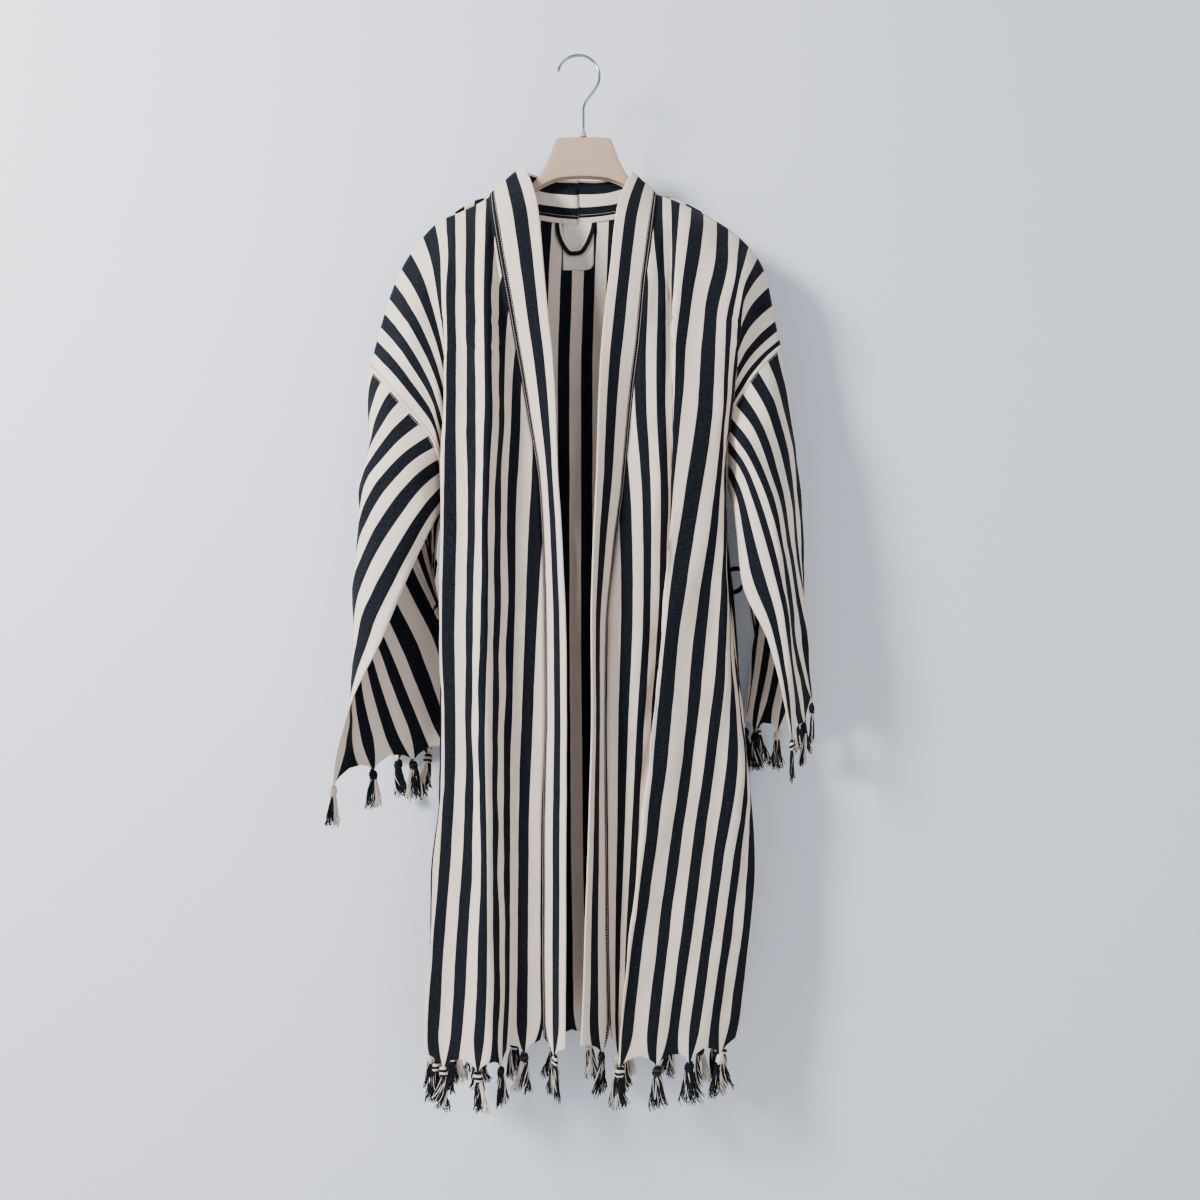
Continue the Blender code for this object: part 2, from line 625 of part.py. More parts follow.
def small_pieces(cloth, paper):
    """Neck label, hanging loop and the two belt loops."""
    label = [[Vector((x, 12.2 - 0.012 * (z + 221), z)) for x in (-21, -10, 0, 10, 20)]
             for z in (-221, -235, -250, -262, -272)]
    wall("neck_label", label, 0.8, paper)
    loop = ((-27, 11.6, -213), (-25, 9.4, -226), (-18, 9.2, -242), (-9, 8.8, -251),
            (1, 8.8, -250), (9, 9.4, -240), (15, 9.4, -226), (18, 11.6, -213))
    rows = []
    for j, point in enumerate(loop):
        along = Vector(loop[min(j + 1, len(loop) - 1)]) - Vector(loop[max(j - 1, 0)])
        side = Vector((-along.z, 0, along.x)).normalized() * 4
        rows.append([Vector(point) - side, Vector(point) + side])
    wall("hanging_loop", rows, 2.0, cloth)
    ribbon("belt_loop_left", ((-176.4, -1, -716), (-183, -4, -714), (-188, -5, -722),
                              (-187, -5, -732), (-177.0, -1, -736)), (0, 3.5, 0), 1.5, cloth)
    ribbon("belt_loop_right", ((201.4, -2, -668), (207, -8, -667), (212.5, -12, -674),
                               (211, -10, -690), (204.4, -2, -696)), (0, 4, 0), 1.5, cloth)


def build():
    clear_scene()
    cloth = material("striped_cotton", NAVY)
    band_cloth = material("band_cotton", CREAM)
    thread = material("fringe_cotton", CREAM)
    plastic = material("hanger_plastic", BEIGE, 0.45)
    metal = material("hook_steel", STEEL, 0.25, 1.0)
    paper = material("label_tape", PAPER)

    left_parts, right_parts = [2, 3, 3, 3, 4, 3, 3], [2, 3, 3, 4, 3, 3, 3]
    back_parts = [3, 3, 4, 3, 2, 3, 3, 2, 3, 4, 3, 3]
    left = panel_rows(LEFT_FRONT, left_parts)
    right = panel_rows(RIGHT_FRONT, right_parts)
    back = panel_rows(BACK, back_parts, 0.0)
    left_sleeve = sleeve_rows(LEFT_SLEEVE, LEFT_FRONT, BACK, 0)
    right_sleeve = sleeve_rows(RIGHT_SLEEVE, RIGHT_FRONT, BACK, -1)
    for name, rows in (("front_left", left), ("front_right", right), ("back", back),
                       ("sleeve_left", left_sleeve), ("sleeve_right", right_sleeve)):
        wall(name, rows, CLOTH, cloth)
    left_band = band_rows(LEFT_FRONT, LEFT_EDGE, LEFT_NECK)
    right_band = band_rows(RIGHT_FRONT, RIGHT_EDGE, RIGHT_NECK)
    wall("band_left", left_band, BAND, band_cloth)
    wall("band_right", right_band, BAND, band_cloth)
    band = [-BAND_WIDTH, -BAND_WIDTH / 2, -2]
    sleeve = [[keys[i] + (keys[i + 1] - keys[i]) * j / SLEEVE_PARTS
               for i in range(len(keys) - 1) for j in range(SLEEVE_PARTS)] + [keys[-1]]
              for keys in (sorted(LEFT_SLEEVE), sorted(RIGHT_SLEEVE))]
    hems = {"fringe_front_left": (left_band[0][::-1] + left[-1],
                                  band + hem_widths(LEFT_FRONT, left_parts)),
            "fringe_front_right": (right_band[0][::-1] + right[-1],
                                   band + hem_widths(RIGHT_FRONT, right_parts)),
            "fringe_back": (back[-1], hem_widths(BACK, back_parts)),
            "fringe_sleeve_left": (left_sleeve[-1], sleeve[0]),
            "fringe_sleeve_right": (right_sleeve[-1], sleeve[1])}
    for seed, (name, (hem, widths)) in enumerate(hems.items()):
        fringe(name, hem, widths, thread, seed + 1)
    small_pieces(cloth, paper)
    hanger(plastic)
    socket(plastic)
    hook(metal)


build()
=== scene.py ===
"""A striped, open-front robe with knotted tassels on its coat hanger.

The tables are in millimetres and the meshes in metres. The robe's front faces -Y and +Z is
up. Each panel is worked out from its folds, as the solids are, then gets its soft
wrinkles, its gathered hem and the cloth's own coordinates for the woven stripes.
"""

import math
import random
from collections import namedtuple
from functools import partial

import bmesh
import bpy
from bpy.props import FloatProperty, FloatVectorProperty, IntProperty, PointerProperty
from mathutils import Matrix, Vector, noise


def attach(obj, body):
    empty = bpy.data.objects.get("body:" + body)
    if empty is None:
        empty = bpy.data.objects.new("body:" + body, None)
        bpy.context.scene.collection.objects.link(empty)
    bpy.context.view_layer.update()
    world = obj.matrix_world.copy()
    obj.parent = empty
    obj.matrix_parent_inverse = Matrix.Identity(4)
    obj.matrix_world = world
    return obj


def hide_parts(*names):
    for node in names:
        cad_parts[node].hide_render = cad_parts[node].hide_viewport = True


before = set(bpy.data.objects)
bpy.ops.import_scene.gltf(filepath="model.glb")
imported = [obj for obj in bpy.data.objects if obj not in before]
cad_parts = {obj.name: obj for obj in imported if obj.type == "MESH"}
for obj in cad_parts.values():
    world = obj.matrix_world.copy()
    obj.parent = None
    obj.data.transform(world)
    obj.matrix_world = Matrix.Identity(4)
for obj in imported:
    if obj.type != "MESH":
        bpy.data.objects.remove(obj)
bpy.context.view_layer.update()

bl_info = {
    "name": "Striped Robe on a Hanger",
    "version": (1, 0, 0),
    "blender": (4, 5, 0),
    "location": "3D View > Sidebar > Robe",
    "description": "Builds a striped open-front robe with knotted tassels on a coat hanger",
    "category": "Object",
}

MM = 0.001
BODY_LENGTH = 1090.0
SLEEVE_LENGTH = 420.0
SLEEVE_HALF = 190.0   # cloth from the top of the sleeve to its underarm
ARMHOLE_LEVEL = 0.2   # where the armhole ends, as a part of the side seam
BAND_WIDTH = 50.0
COLUMN = 5.0          # width of one column of a panel's mesh
SEAM_GAP = 0.45       # how far a panel stays from the middle of a seam
SLEEVE_CLEAR = 1.0    # how far a sleeve starts outside the body's edge
SLEEVE_FADE = 0.25    # part of the sleeve over which the armhole's own line fades out
HEM_REACH = 40.0      # how far above the hem the tassels gather the cloth
GATHER_HALF = 24.0    # half the cloth that one tassel gathers
GATHER_DROP = 9.0     # how far a tassel draws the hem down
KNOT_DROP = 4.5       # from the gathered point to the middle of the knot

# Levels of a fold, as parts of the way from the shoulder to the hem
LEVELS = (0, 0.06, 0.12, 0.18, 0.25, 0.37, 0.5, 0.62, 0.75, 0.88, 1)

# A fold's height at the shoulder and at the hem, then level by level its distance in the
# cloth, its place across and its depth. A list that ends early holds its last value.
Fold = namedtuple("Fold", "top hem cloth across depth")

LEFT_FRONT = (
    Fold(-180, -1272, cloth=(118, 112, 92, 68, 43, 23, 10, 3, 1, 0),   # band seam
         across=(-115, -105, -93, -81, -67, -47, -42, -41, -45, -45, -43),
         depth=(-1.15, -34, -38, -34, -28, -24)),
    Fold(-183, -1276, cloth=(120, 114, 97, 88, 78, 60, 55, 50, 43, 42, 41),   # valley
         across=(-116, -107, -100, -96, -92, -87, -84, -84, -82, -82, -84),
         depth=(-1.15, -33, -34, -32, -31, -30)),
    Fold(-186, -1284, cloth=(127, 124, 122, 122, 122, 120, 119, 116, 115, 112, 92),   # ridge
         across=(-120, -114, -113, -112, -111, -113, -114, -116, -113, -111, -104),
         depth=(-1.15, -38, -50, -56, -60, -62, -62, -62, -62, -62, -60)),
    Fold(-203, -1284, cloth=(165,),   # chest
         across=(-153, -147, -146, -145, -144, -142, -144, -144, -149, -159, -167),
         depth=(-1.15, -34, -42, -44, -46)),
    Fold(-214, -1282, cloth=(197,),   # hanger end
         across=(-179, -169, -168, -166, -167, -171, -174, -170, -176, -186, -194),
         depth=(-1.15, -28, -36, -40, -42)),
    Fold(-277, -1282, cloth=(251,),   # inner fold
         across=(-230, -196, -175, -163, -141, -113, -111, -113, -118, -123, -126),
         depth=(-1.15, -32, -30, -22, -18, -16)),
    Fold(-353, -1284, cloth=(313,),   # drop
         across=(-257, -212, -181, -169, -159, -150, -150, -153, -158, -163, -166),
         depth=(-1.15, -34, -32, -18, -12, -9, -8)),
    Fold(-405, -1289, cloth=(363,),   # side seam
         across=(-270, -220, -180, -170, -172, -175, -179, -180, -192, -193, -196),
         depth=(-1.15, -34, -30, -12, -4, -1.15)),
)

RIGHT_FRONT = (
    Fold(-180, -1272, cloth=(88, 79, 61, 57, 46, 22, 2, 0),   # band seam
         across=(101, 94, 85, 79, 69, 56, 37, 34, 36, 38, 42),
         depth=(-1.15, -34, -38, -34, -28, -24)),
    Fold(-183, -1277, cloth=(98, 92, 82, 80, 75, 62, 55, 50, 42, 36, 30),   # under fold
         across=(111, 105, 102, 99, 95, 91, 86, 75, 64, 55, 50),
         depth=(-1.15, -31, -36, -34, -32, -30, -30, -28, -26, -24)),
    Fold(-186, -1277, cloth=(112, 110, 112, 113, 118, 120, 125, 125, 115, 105, 95),   # valley
         across=(120, 118, 118, 119, 120, 122, 119, 108, 92, 77, 61),
         depth=(-1.15, -30, -32, -32, -32, -22, -16, -14)),
    Fold(-191, -1277, cloth=(127, 127, 128, 133, 141, 154, 164, 164, 164, 166),   # ridge
         across=(132, 125, 121, 119, 120, 116, 105, 93, 79, 63, 49),
         depth=(-1.15, -34, -44, -50, -55, -58, -60, -60, -60, -60, -58)),
    Fold(-236, -1282, cloth=(205,),   # chest
         across=(209, 199, 186, 183, 178, 163, 144, 133, 114, 97, 82),
         depth=(-1.15, -36, -44, -46, -48)),
    Fold(-279, -1282, cloth=(251,),   # hanger end
         across=(241, 207, 200, 195, 186, 188, 186, 174, 156, 138, 122),
         depth=(-1.15, -34, -35, -35, -36, -37, -38, -38, -38, -40)),
    Fold(-347, -1279, cloth=(300,),   # drop
         across=(256, 208, 188, 184, 184, 193, 202, 212, 197, 180, 164),
         depth=(-1.15, -26, -17, -11, -10, -12, -17, -26, -30, -34)),
    Fold(-377, -1276, cloth=(348,),   # side seam
         across=(263, 215, 190, 192, 193, 203, 211, 220, 229, 219, 206),
         depth=(-1.15, -25, -19, -9, -3, -1.15, -1.15, -6, -10, -12)),
)

# The back's distance in the cloth is measured from its middle, negative on the left
BACK = (
    Fold(-405, -1289, cloth=(-363,),   # left side seam
         across=LEFT_FRONT[-1].across, depth=(1.15, 14, 12, 6, 3, 1.15)),
    Fold(-353, -1284, cloth=(-310,),   # left drop
         across=(-257, -212, -181, -168, -157, -148, -148, -151, -156, -161, -164),
         depth=(1.15, 15, 12, 7, 4, 3)),
    Fold(-277, -1282, cloth=(-255,),   # left inner fold
         across=(-230, -195, -172, -158, -138, -114, -112, -114, -119, -124, -127),
         depth=(1.15, 15, 15, 11, 8, 6)),
    Fold(-212, -1282, cloth=(-190,),   # left hanger end
         across=(-175, -176, -177, -178, -179, -180, -181, -182, -184, -187, -190),
         depth=(1.15, 15, 19, 20, 20, 19)),
    Fold(-183, -1282, cloth=(-120,),   # left blade
         across=(-117, -123, -126, -127, -128, -128, -129, -130, -131, -133, -134),
         depth=(1.15, 14, 20, 23, 25, 26)),
    Fold(-203, -1282, cloth=(-60,),   # left middle
         across=(-60, -65, -68, -70, -70, -70, -70, -70, -69, -67, -65),
         depth=(13, 14, 16, 18, 18, 19, 19, 18, 17, 17, 18)),
    Fold(-208, -1282, cloth=(0,),   # centre
         across=(-3, -6, -8, -10, -10, -10, -10, -9, -8, -6, -4),
         depth=(14, 15, 16, 16, 17, 17, 16)),
    Fold(-203, -1282, cloth=(60,),   # right middle
         across=(55, 53, 51, 50, 50, 50, 50, 51, 53, 55, 57),
         depth=(13, 14, 16, 18, 18, 19, 20, 19, 18, 18, 19)),
    Fold(-180.5, -1282, cloth=(108,),   # right blade
         across=(103, 106, 108, 109, 110, 110, 110, 111, 112, 114, 115),
         depth=(1.15, 14, 20, 23, 25, 26)),
    Fold(-232, -1282, cloth=(190,),   # right hanger end
         across=(204, 196, 189, 184, 182, 184, 188, 194, 198, 198, 194),
         depth=(1.15, 15, 19, 20, 20, 19)),
    Fold(-279, -1282, cloth=(245,),   # right inner fold
         across=(241, 206, 188, 174, 160, 146, 146, 150, 155, 158, 155),
         depth=(1.15, 15, 15, 11, 8, 6, 6, 6, 5)),
    Fold(-347, -1279, cloth=(300,),   # right drop
         across=(256, 211, 189, 185, 183, 181, 184, 190, 196, 192, 184),
         depth=(1.15, 15, 12, 7, 4, 3, 3, 0, -2, -3)),
    Fold(-377, -1276, cloth=(354,),   # right side seam
         across=RIGHT_FRONT[-1].across, depth=(1.15, 14, 12, 6, 3, 1.15, 1.15, -3.7, -7.7, -9.7)),
)

# The folded edges of the two bands
LEFT_EDGE = Fold(-144, -1268, cloth=(0,),
                 across=(-70, -50, -43, -37, -29, -24, -15, -13, -14, -14, -15),
                 depth=(-6, -38, -46, -48, -50, -54, -60, -62))
RIGHT_EDGE = Fold(-153, -1264, cloth=(0,),
                  across=(69, 48, 41, 33, 27, 23, 17, 18, 14, 9, 4),
                  depth=(-6, -38, -46, -48, -50, -54, -58, -60))
# Back neck, from the shoulder to the middle: seam point, then edge point (x, y, z)
NECK_MIDDLE = ((-3, 14, -207), (-3, 10.5, -154.5))
LEFT_NECK = (((-116, 5, -181), (-68, 7, -146)), ((-96, 10, -190), (-52, 9.5, -151)),
             ((-60, 13, -202), (-28, 10, -156)))
RIGHT_NECK = (((103, 5, -181), (66, 7, -152)), ((84, 10, -190), (50, 9.5, -154)),
              ((50, 13, -202), (24, 10, -157)))

# Sleeves: along each line of the cloth, its places (x, y, z) at these parts of the way to the
# cuff, apart from the first, which lies on the armhole. The key is the distance in the cloth
# from the top of the sleeve, positive on the front.
SLEEVE_LEVELS = (0, 0.12, 0.3, 0.5, 0.75, 1)
LEFT_SLEEVE = {
    -190: ((-187, 24, -620), (-200, 51, -687), (-224, 54, -761), (-258, 56, -843),
           (-282, 56, -925)),
    -120: ((-204, 22, -560), (-194, 40, -633), (-205, 49, -721), (-218, 52, -816),
           (-224, 53, -914)),
    -60: ((-236, 24, -508), (-214, 38, -587), (-192, 43, -694), (-180, 46, -795),
          (-175, 47, -902)),
    0: ((-277, 6, -456), (-256, 20, -535), (-225, 30, -641), (-178, 37, -761), (-149, 39, -892)),
    60: ((-251, -38, -503), (-285, -8, -574), (-275, 14, -681), (-237, 24, -786),
         (-189, 31, -907)),
    122: ((-213, -50, -550), (-259, -45, -613), (-291, -12, -707), (-278, 4, -811),
          (-251, 12, -919)),
    156: ((-197, -46, -585), (-235, -55, -649), (-276, -40, -735), (-291, -15, -835),
          (-282, -8, -925)),
    190: ((-187, -34, -619), (-212, -52, -682), (-239, -60, -751), (-282, -52, -837),
          (-308, -45, -933)),
}
RIGHT_SLEEVE = {
    -190: ((211, 22, -601), (221, 34, -667), (233, 48, -734), (252, 58, -816), (270, 61, -873)),
    -120: ((217, 28, -534), (232, 36, -613), (241, 43, -693), (234, 49, -788), (223, 51, -875)),
    -60: ((248, 26, -481), (266, 32, -560), (277, 36, -653), (264, 40, -774), (241, 42, -880)),
    0: ((274, 4, -435), (286, 12, -523), (296, 18, -628), (294, 24, -760), (279, 28, -870)),
    60: ((239, -42, -488), (261, -36, -562), (278, -12, -655), (297, 2, -759), (305, 8, -835)),
    100: ((217, -50, -515), (246, -55, -589), (265, -40, -676), (280, -18, -771), (298, -8, -841)),
    150: ((208, -44, -557), (231, -56, -639), (250, -60, -719), (264, -50, -807),
          (275, -32, -875)),
    190: ((199, -32, -599), (205, -46, -682), (236, -56, -758), (256, -56, -834),
          (264, -50, -877)),
}


class Curve:
    """A smooth curve through three points or more, which never overshoots them."""

    def __init__(self, xs, ys):
        self.xs, self.ys = xs, ys
        last = len(xs) - 1
        self.steps = steps = [after - before for before, after in zip(xs, xs[1:])]
        rise = [(after - before) / step for before, after, step in zip(ys, ys[1:], steps)]
        self.grades = [0.0] * (last + 1)
        for i in range(1, last):
            if rise[i - 1] * rise[i] > 0:
                before = 2 * steps[i] + steps[i - 1]
                after = steps[i] + 2 * steps[i - 1]
                self.grades[i] = (before + after) / (before / rise[i - 1] + after / rise[i])
        for end, near, far in ((0, 0, 1), (last, last - 1, last - 2)):
            first, second = steps[near], steps[far]
            slope = ((2 * first + second) * rise[near] - first * rise[far]) / (first + second)
            if slope * rise[near] <= 0:
                slope = 0.0
            elif rise[near] * rise[far] <= 0 and abs(slope) > 3 * abs(rise[near]):
                slope = 3 * rise[near]
            self.grades[end] = slope

    def __call__(self, x):
        i = 0
        while i < len(self.xs) - 2 and x > self.xs[i + 1]:
            i += 1
        step = self.steps[i]
        part = (x - self.xs[i]) / step
        square, cube = part * part, part ** 3
        return ((2 * cube - 3 * square + 1) * self.ys[i]
                + (cube - 2 * square + part) * step * self.grades[i]
                + (3 * square - 2 * cube) * self.ys[i + 1]
                + (cube - square) * step * self.grades[i + 1])


class Path:
    """A smooth line in space through places, read at any key."""

    def __init__(self, keys, places):
        self.ways = [Curve(keys, [place[k] for place in places]) for k in range(3)]

    def __call__(self, key):
        return Vector([way(key) for way in self.ways])


class FoldLine:
    """A fold, read at any level."""

    def __init__(self, fold):
        self.top, self.hem = fold.top, fold.hem
        self.across, self.depth, self.cloth = (
            Curve(LEVELS, values + values[-1:] * (len(LEVELS) - len(values)))
            for values in (fold.across, fold.depth, fold.cloth))

    def place(self, level):
        return Vector((self.across(level), self.depth(level),
                       self.top + (self.hem - self.top) * level))


class Cloth:
    """A grid of points in millimetres, with the cloth's own width and length at each."""

    def __init__(self, rows, widths, turn=1):
        self.rows, self.widths, self.turn = rows, widths, turn
        self.lengths = [[0.0] * len(rows[0])]
        for above, row in zip(rows, rows[1:]):
            self.lengths.append([length + (second - first).length for length, first, second
                                 in zip(self.lengths[-1], above, row)])
        self.find_normals()

    def find_normals(self):
        rows, last = self.rows, len(self.rows) - 1
        self.normals = [
            [run_of(row, j).cross(rows[min(i + 1, last)][j] - rows[max(i - 1, 0)][j]).normalized()
             * self.turn for j in range(len(row))] for i, row in enumerate(rows)]

    def press(self, height):
        """Moves each point along its normal by height(width, length, level)."""
        for i, row in enumerate(self.rows):
            for j, point in enumerate(row):
                row[j] = point + self.normals[i][j] * height(
                    self.widths[i][j], self.lengths[i][j], point.z)
        self.find_normals()

    def at(self, i, width, lift=0.0):
        """The place of a width of the cloth on one row, lifted off the cloth."""
        widths = self.widths[i]
        j = min(range(len(widths)), key=lambda k: abs(widths[k] - width))
        k = j + 1 if (width > widths[j]) == (widths[-1] > widths[0]) else j - 1
        k = max(0, min(len(widths) - 1, k))
        if k == j or widths[k] == widths[j]:
            return self.rows[i][j] + self.normals[i][j] * lift
        part = max(0.0, min(1.0, (width - widths[j]) / (widths[k] - widths[j])))
        return (self.rows[i][j].lerp(self.rows[i][k], part)
                + self.normals[i][j].lerp(self.normals[i][k], part).normalized() * lift)


def run_of(row, j):
    """Direction of a row at one of its points, halfway between its two sides there."""
    before = row[j] - row[j - 1] if j else row[1] - row[0]
    after = row[j + 1] - row[j] if j < len(row) - 1 else before
    return before.normalized() + after.normalized()


def across_row(widths, places, parts):
    """Points and widths of one row, each gap between two folds cut into parts."""
    path = Path(widths, places)
    cloth = [first + (second - first) * j / count
             for first, second, count in zip(widths, widths[1:], parts) for j in range(count)]
    return [path(width) for width in cloth] + [Vector(places[-1])], cloth + [widths[-1]]


def spaced(length, head, tail):
    """Levels from 0 to 1 down a piece, closer together over its first and last stretch."""
    levels, start = [0.0], 0.0
    for stretch, step in ((head, 4.0), (length - head - tail, 6.6), (tail, 3.6)):
        count = max(1, round(stretch / step))
        levels += [(start + stretch * (i + 1) / count) / length for i in range(count)]
        start += stretch
    return levels


def smooth_line(points, count):
    """Points spaced evenly along a smooth line through the given ones."""
    path = Path(range(len(points)), points)
    return [path((len(points) - 1) * i / count) for i in range(count + 1)]


def panel(folds, side, turn=1):
    """A panel of the body; side is 1 for a front and -1 for the back."""
    lines = [FoldLine(fold) for fold in folds]
    hem = [fold.cloth[-1] for fold in folds]
    parts = [max(3, round(abs(second - first) / COLUMN)) for first, second in zip(hem, hem[1:])]
    clear = Vector((0, SEAM_GAP * side, 0))
    rows, widths = [], []
    for level in spaced(BODY_LENGTH, head=60, tail=46):
        points, cloth = across_row([line.cloth(level) for line in lines],
                                   [line.place(level) for line in lines], parts)
        points[-1] = points[-1] + clear
        if side < 0:
            points[0] = points[0] + clear
        if not rows:
            points = [point + clear * (abs(point.y) < 3) for point in points]
        rows.append(points)
        widths.append(cloth)
    return Cloth(rows, widths, turn)


def sleeve_top(front, back, back_side, width):
    """The place on the body's armhole of a width of the sleeve."""
    folds, side = (front, -1) if width >= 0 else (back, back_side)
    place = FoldLine(folds[side]).place(ARMHOLE_LEVEL * abs(width) / SLEEVE_HALF)
    if abs(width) < 1:
        place.y = 0
    return place + Vector((math.copysign(SLEEVE_CLEAR, place.x), 0, -0.4))


def sleeve(lines, front, back, back_side, turn=1):
    """A sleeve, whose first row follows the armhole between the front and the back."""
    keys = sorted(lines)
    parts = [max(4, round((b - a) / COLUMN)) for a, b in zip(keys, keys[1:])]
    tops = [sleeve_top(front, back, back_side, key) for key in keys]
    paths = [Path(SLEEVE_LEVELS, [top, *lines[key]]) for key, top in zip(keys, tops)]
    first, cloth = across_row(keys, tops, parts)
    shifts = [sleeve_top(front, back, back_side, width) - place
              for width, place in zip(cloth, first)]
    rows = []
    for level in spaced(SLEEVE_LENGTH, head=40, tail=46):
        fade = max(0.0, 1 - level / SLEEVE_FADE)
        points = across_row(keys, [path(level) for path in paths], parts)[0]
        rows.append([point + shift * fade for point, shift in zip(points, shifts)])
    return Cloth(rows, [cloth] * len(rows), turn)


def rough(across, along, seed):
    """Smooth random heights, from about -1 to 1."""
    return noise.noise(Vector((across, along, seed)))


def wrinkles(seed, strength, low, high, creases, calm):
    """Soft uneven troughs and ridges, with pressed creases at the given levels.

    They fade out at the cloth's two side edges and over the calm length below its top.
    """
    def height(width, length, level):
        edge = min(1.0, max(0.0, min(width - low, high - width) / 22.0))
        soft = (2.7 * rough(width / 42, length / 240, seed)
                + 1.5 * rough(width / 19 + length / 110, length / 70, seed + 9)
                + 0.3 * rough(width / 9, length / 17, seed + 21))
        ridge = abs(rough(width / 48 - length / 310, length / 150, seed + 33))
        soft += 1.1 * max(0.0, 1 - 7 * ridge) ** 1.5 * rough(width / 70, length / 90, seed + 41)
        for crease, depth in creases:
            near = (level - crease - 5 * rough(width / 90, crease, seed + 3)) / 3.2
            soft -= depth * math.exp(-near * near) * (0.65 + 0.6 * rough(width / 50, seed, crease))
        return soft * strength * edge * min(1.0, length / calm)
    return height


def gather(cloth, knots):
    """Gathers the hem to its knots: returns each knot's place and the way across there."""
    rows, widths = cloth.rows, cloth.widths
    hem = [point.copy() for point in rows[-1]]
    ends = [cloth.at(len(rows) - 1, knot) for knot in knots]
    for i, row in enumerate(rows):
        if min(point.z - low.z for point, low in zip(row, hem)) > HEM_REACH:
            continue
        middles = {knot: cloth.at(i, knot) for knot in knots}
        for j, point in enumerate(row):
            pull = max(0.0, 1 - (point.z - hem[j].z) / HEM_REACH) ** 2
            knot = min(knots, key=lambda k: abs(k - widths[i][j]))
            away = min(1.0, abs(widths[i][j] - knot) / GATHER_HALF)
            row[j] = (point + (middles[knot] - point) * (0.86 * pull * (1 - away ** 3.2))
                      + Vector((0, 0, pull * (GATHER_DROP * 1.9 * away ** 1.6
                                              - GATHER_DROP))))
    places = []
    for knot, place in zip(knots, ends):
        j = min(range(len(hem)), key=lambda k: abs(widths[-1][k] - knot))
        across = run_of(hem, j)
        across.z = 0
        places.append((place - Vector((0, 0, GATHER_DROP)), across.normalized()))
    cloth.find_normals()
    return places


# Meshes

def add_piece(name, bm, material):
    """An object at the origin from a finished mesh."""
    mesh = bpy.data.meshes.new(name)
    bm.to_mesh(mesh)
    bm.free()
    mesh.materials.append(material)
    piece = bpy.data.objects.new(name, mesh)
    bpy.context.scene.collection.objects.link(piece)
    return piece


def settle(piece, slot, *nodes):
    """Ties a finished piece to the frame: its body and the solids it stands for. The slot argument
    is not used.
    """
    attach(piece, "root")
    if nodes:
        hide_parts(*nodes)
    return piece


def shell(name, cloth, thickness, material, doubled=False):
    """A thin closed shell round a cloth's grid, with the cloth's coordinates as its UV map.

    thickness gives the shell's own at each width. The inner face of doubled cloth is the
    same cloth past its folded edge, where the width is negative.
    """
    bm = bmesh.new()
    uv_layer = bm.loops.layers.uv.new("cloth")
    skins = [[[bm.verts.new((point + normal * (thickness(width) * side / 2)) * MM)
               for point, normal, width in zip(*lines)]
              for lines in zip(cloth.rows, cloth.normals, cloth.widths)] for side in (1, -1)]
    high, wide = len(cloth.rows), len(cloth.rows[0])

    def face(corners, sign=1):
        made = bm.faces.new([skins[s][i][j] for s, i, j in corners])
        made.smooth = True
        for loop, (s, i, j) in zip(made.loops, corners):
            loop[uv_layer].uv = (sign * cloth.widths[i][j] * MM, cloth.lengths[i][j] * MM)

    for s in (0, 1):
        for i in range(high - 1):
            for j in range(wide - 1):
                face([(s, i, j), (s, i, j + 1), (s, i + 1, j + 1), (s, i + 1, j)],
                     -1 if s and doubled else 1)
    rim = ([(0, j) for j in range(wide)] + [(i, wide - 1) for i in range(1, high)]
           + [(high - 1, j) for j in range(wide - 2, -1, -1)]
           + [(i, 0) for i in range(high - 2, 0, -1)])
    for (i, j), (k, m) in zip(rim, rim[1:] + rim[:1]):
        face([(0, i, j), (1, i, j), (1, k, m), (0, k, m)])
    bmesh.ops.recalc_face_normals(bm, faces=bm.faces)
    return add_piece(name, bm, material)


def patch(name, rows, thickness, material, widths=None):
    """A strip or patch of cloth given by its rows of points."""
    if widths is None:
        widths = [0.0]
        for first, second in zip(rows[0], rows[0][1:]):
            widths.append(widths[-1] + (second - first).length)
    return shell(name, Cloth(rows, [widths] * len(rows)), lambda width: thickness, material)


def swept(stations, profile):
    """Rows of a strip: its profile of steps aside and up, set at each (place, aside, up)."""
    return [[place + aside * step + up * rise for step, rise in profile]
            for place, aside, up in stations]


def body(name, rings, material):
    """A solid through closed rings of points, closed at both ends."""
    bm = bmesh.new()
    rings = [[bm.verts.new(point * MM) for point in ring] for ring in rings]
    for first, second in zip(rings, rings[1:]):
        for k in range(len(first)):
            m = (k + 1) % len(first)
            bm.faces.new((first[k], first[m], second[m], second[k])).smooth = True
    bm.faces.new(rings[0])
    bm.faces.new(rings[-1])
    bmesh.ops.recalc_face_normals(bm, faces=bm.faces)
    return add_piece(name, bm, material)


def round_rings(points, radii, sides):
    """Rings of a round bar along points."""
    rings = []
    aside = Vector((0, 1, 0))
    for i, (point, radius) in enumerate(zip(points, radii)):
        along = (points[min(i + 1, len(points) - 1)] - points[max(i - 1, 0)]).normalized()
        aside = (aside - along * aside.dot(along)).normalized()
        other = along.cross(aside)
        rings.append([point + (aside * math.cos(turn) + other * math.sin(turn)) * radius
                      for turn in (2 * math.pi * k / sides for k in range(sides))])
    return rings


# Node trees

def feed(tree, socket, value):
    """Gives a socket its value: another socket, the three numbers of a colour, or a number."""
    if isinstance(value, bpy.types.NodeSocket):
        tree.links.new(value, socket)
    elif isinstance(value, (tuple, list)):
        socket.default_value = (*value, 1)
    else:
        socket.default_value = value


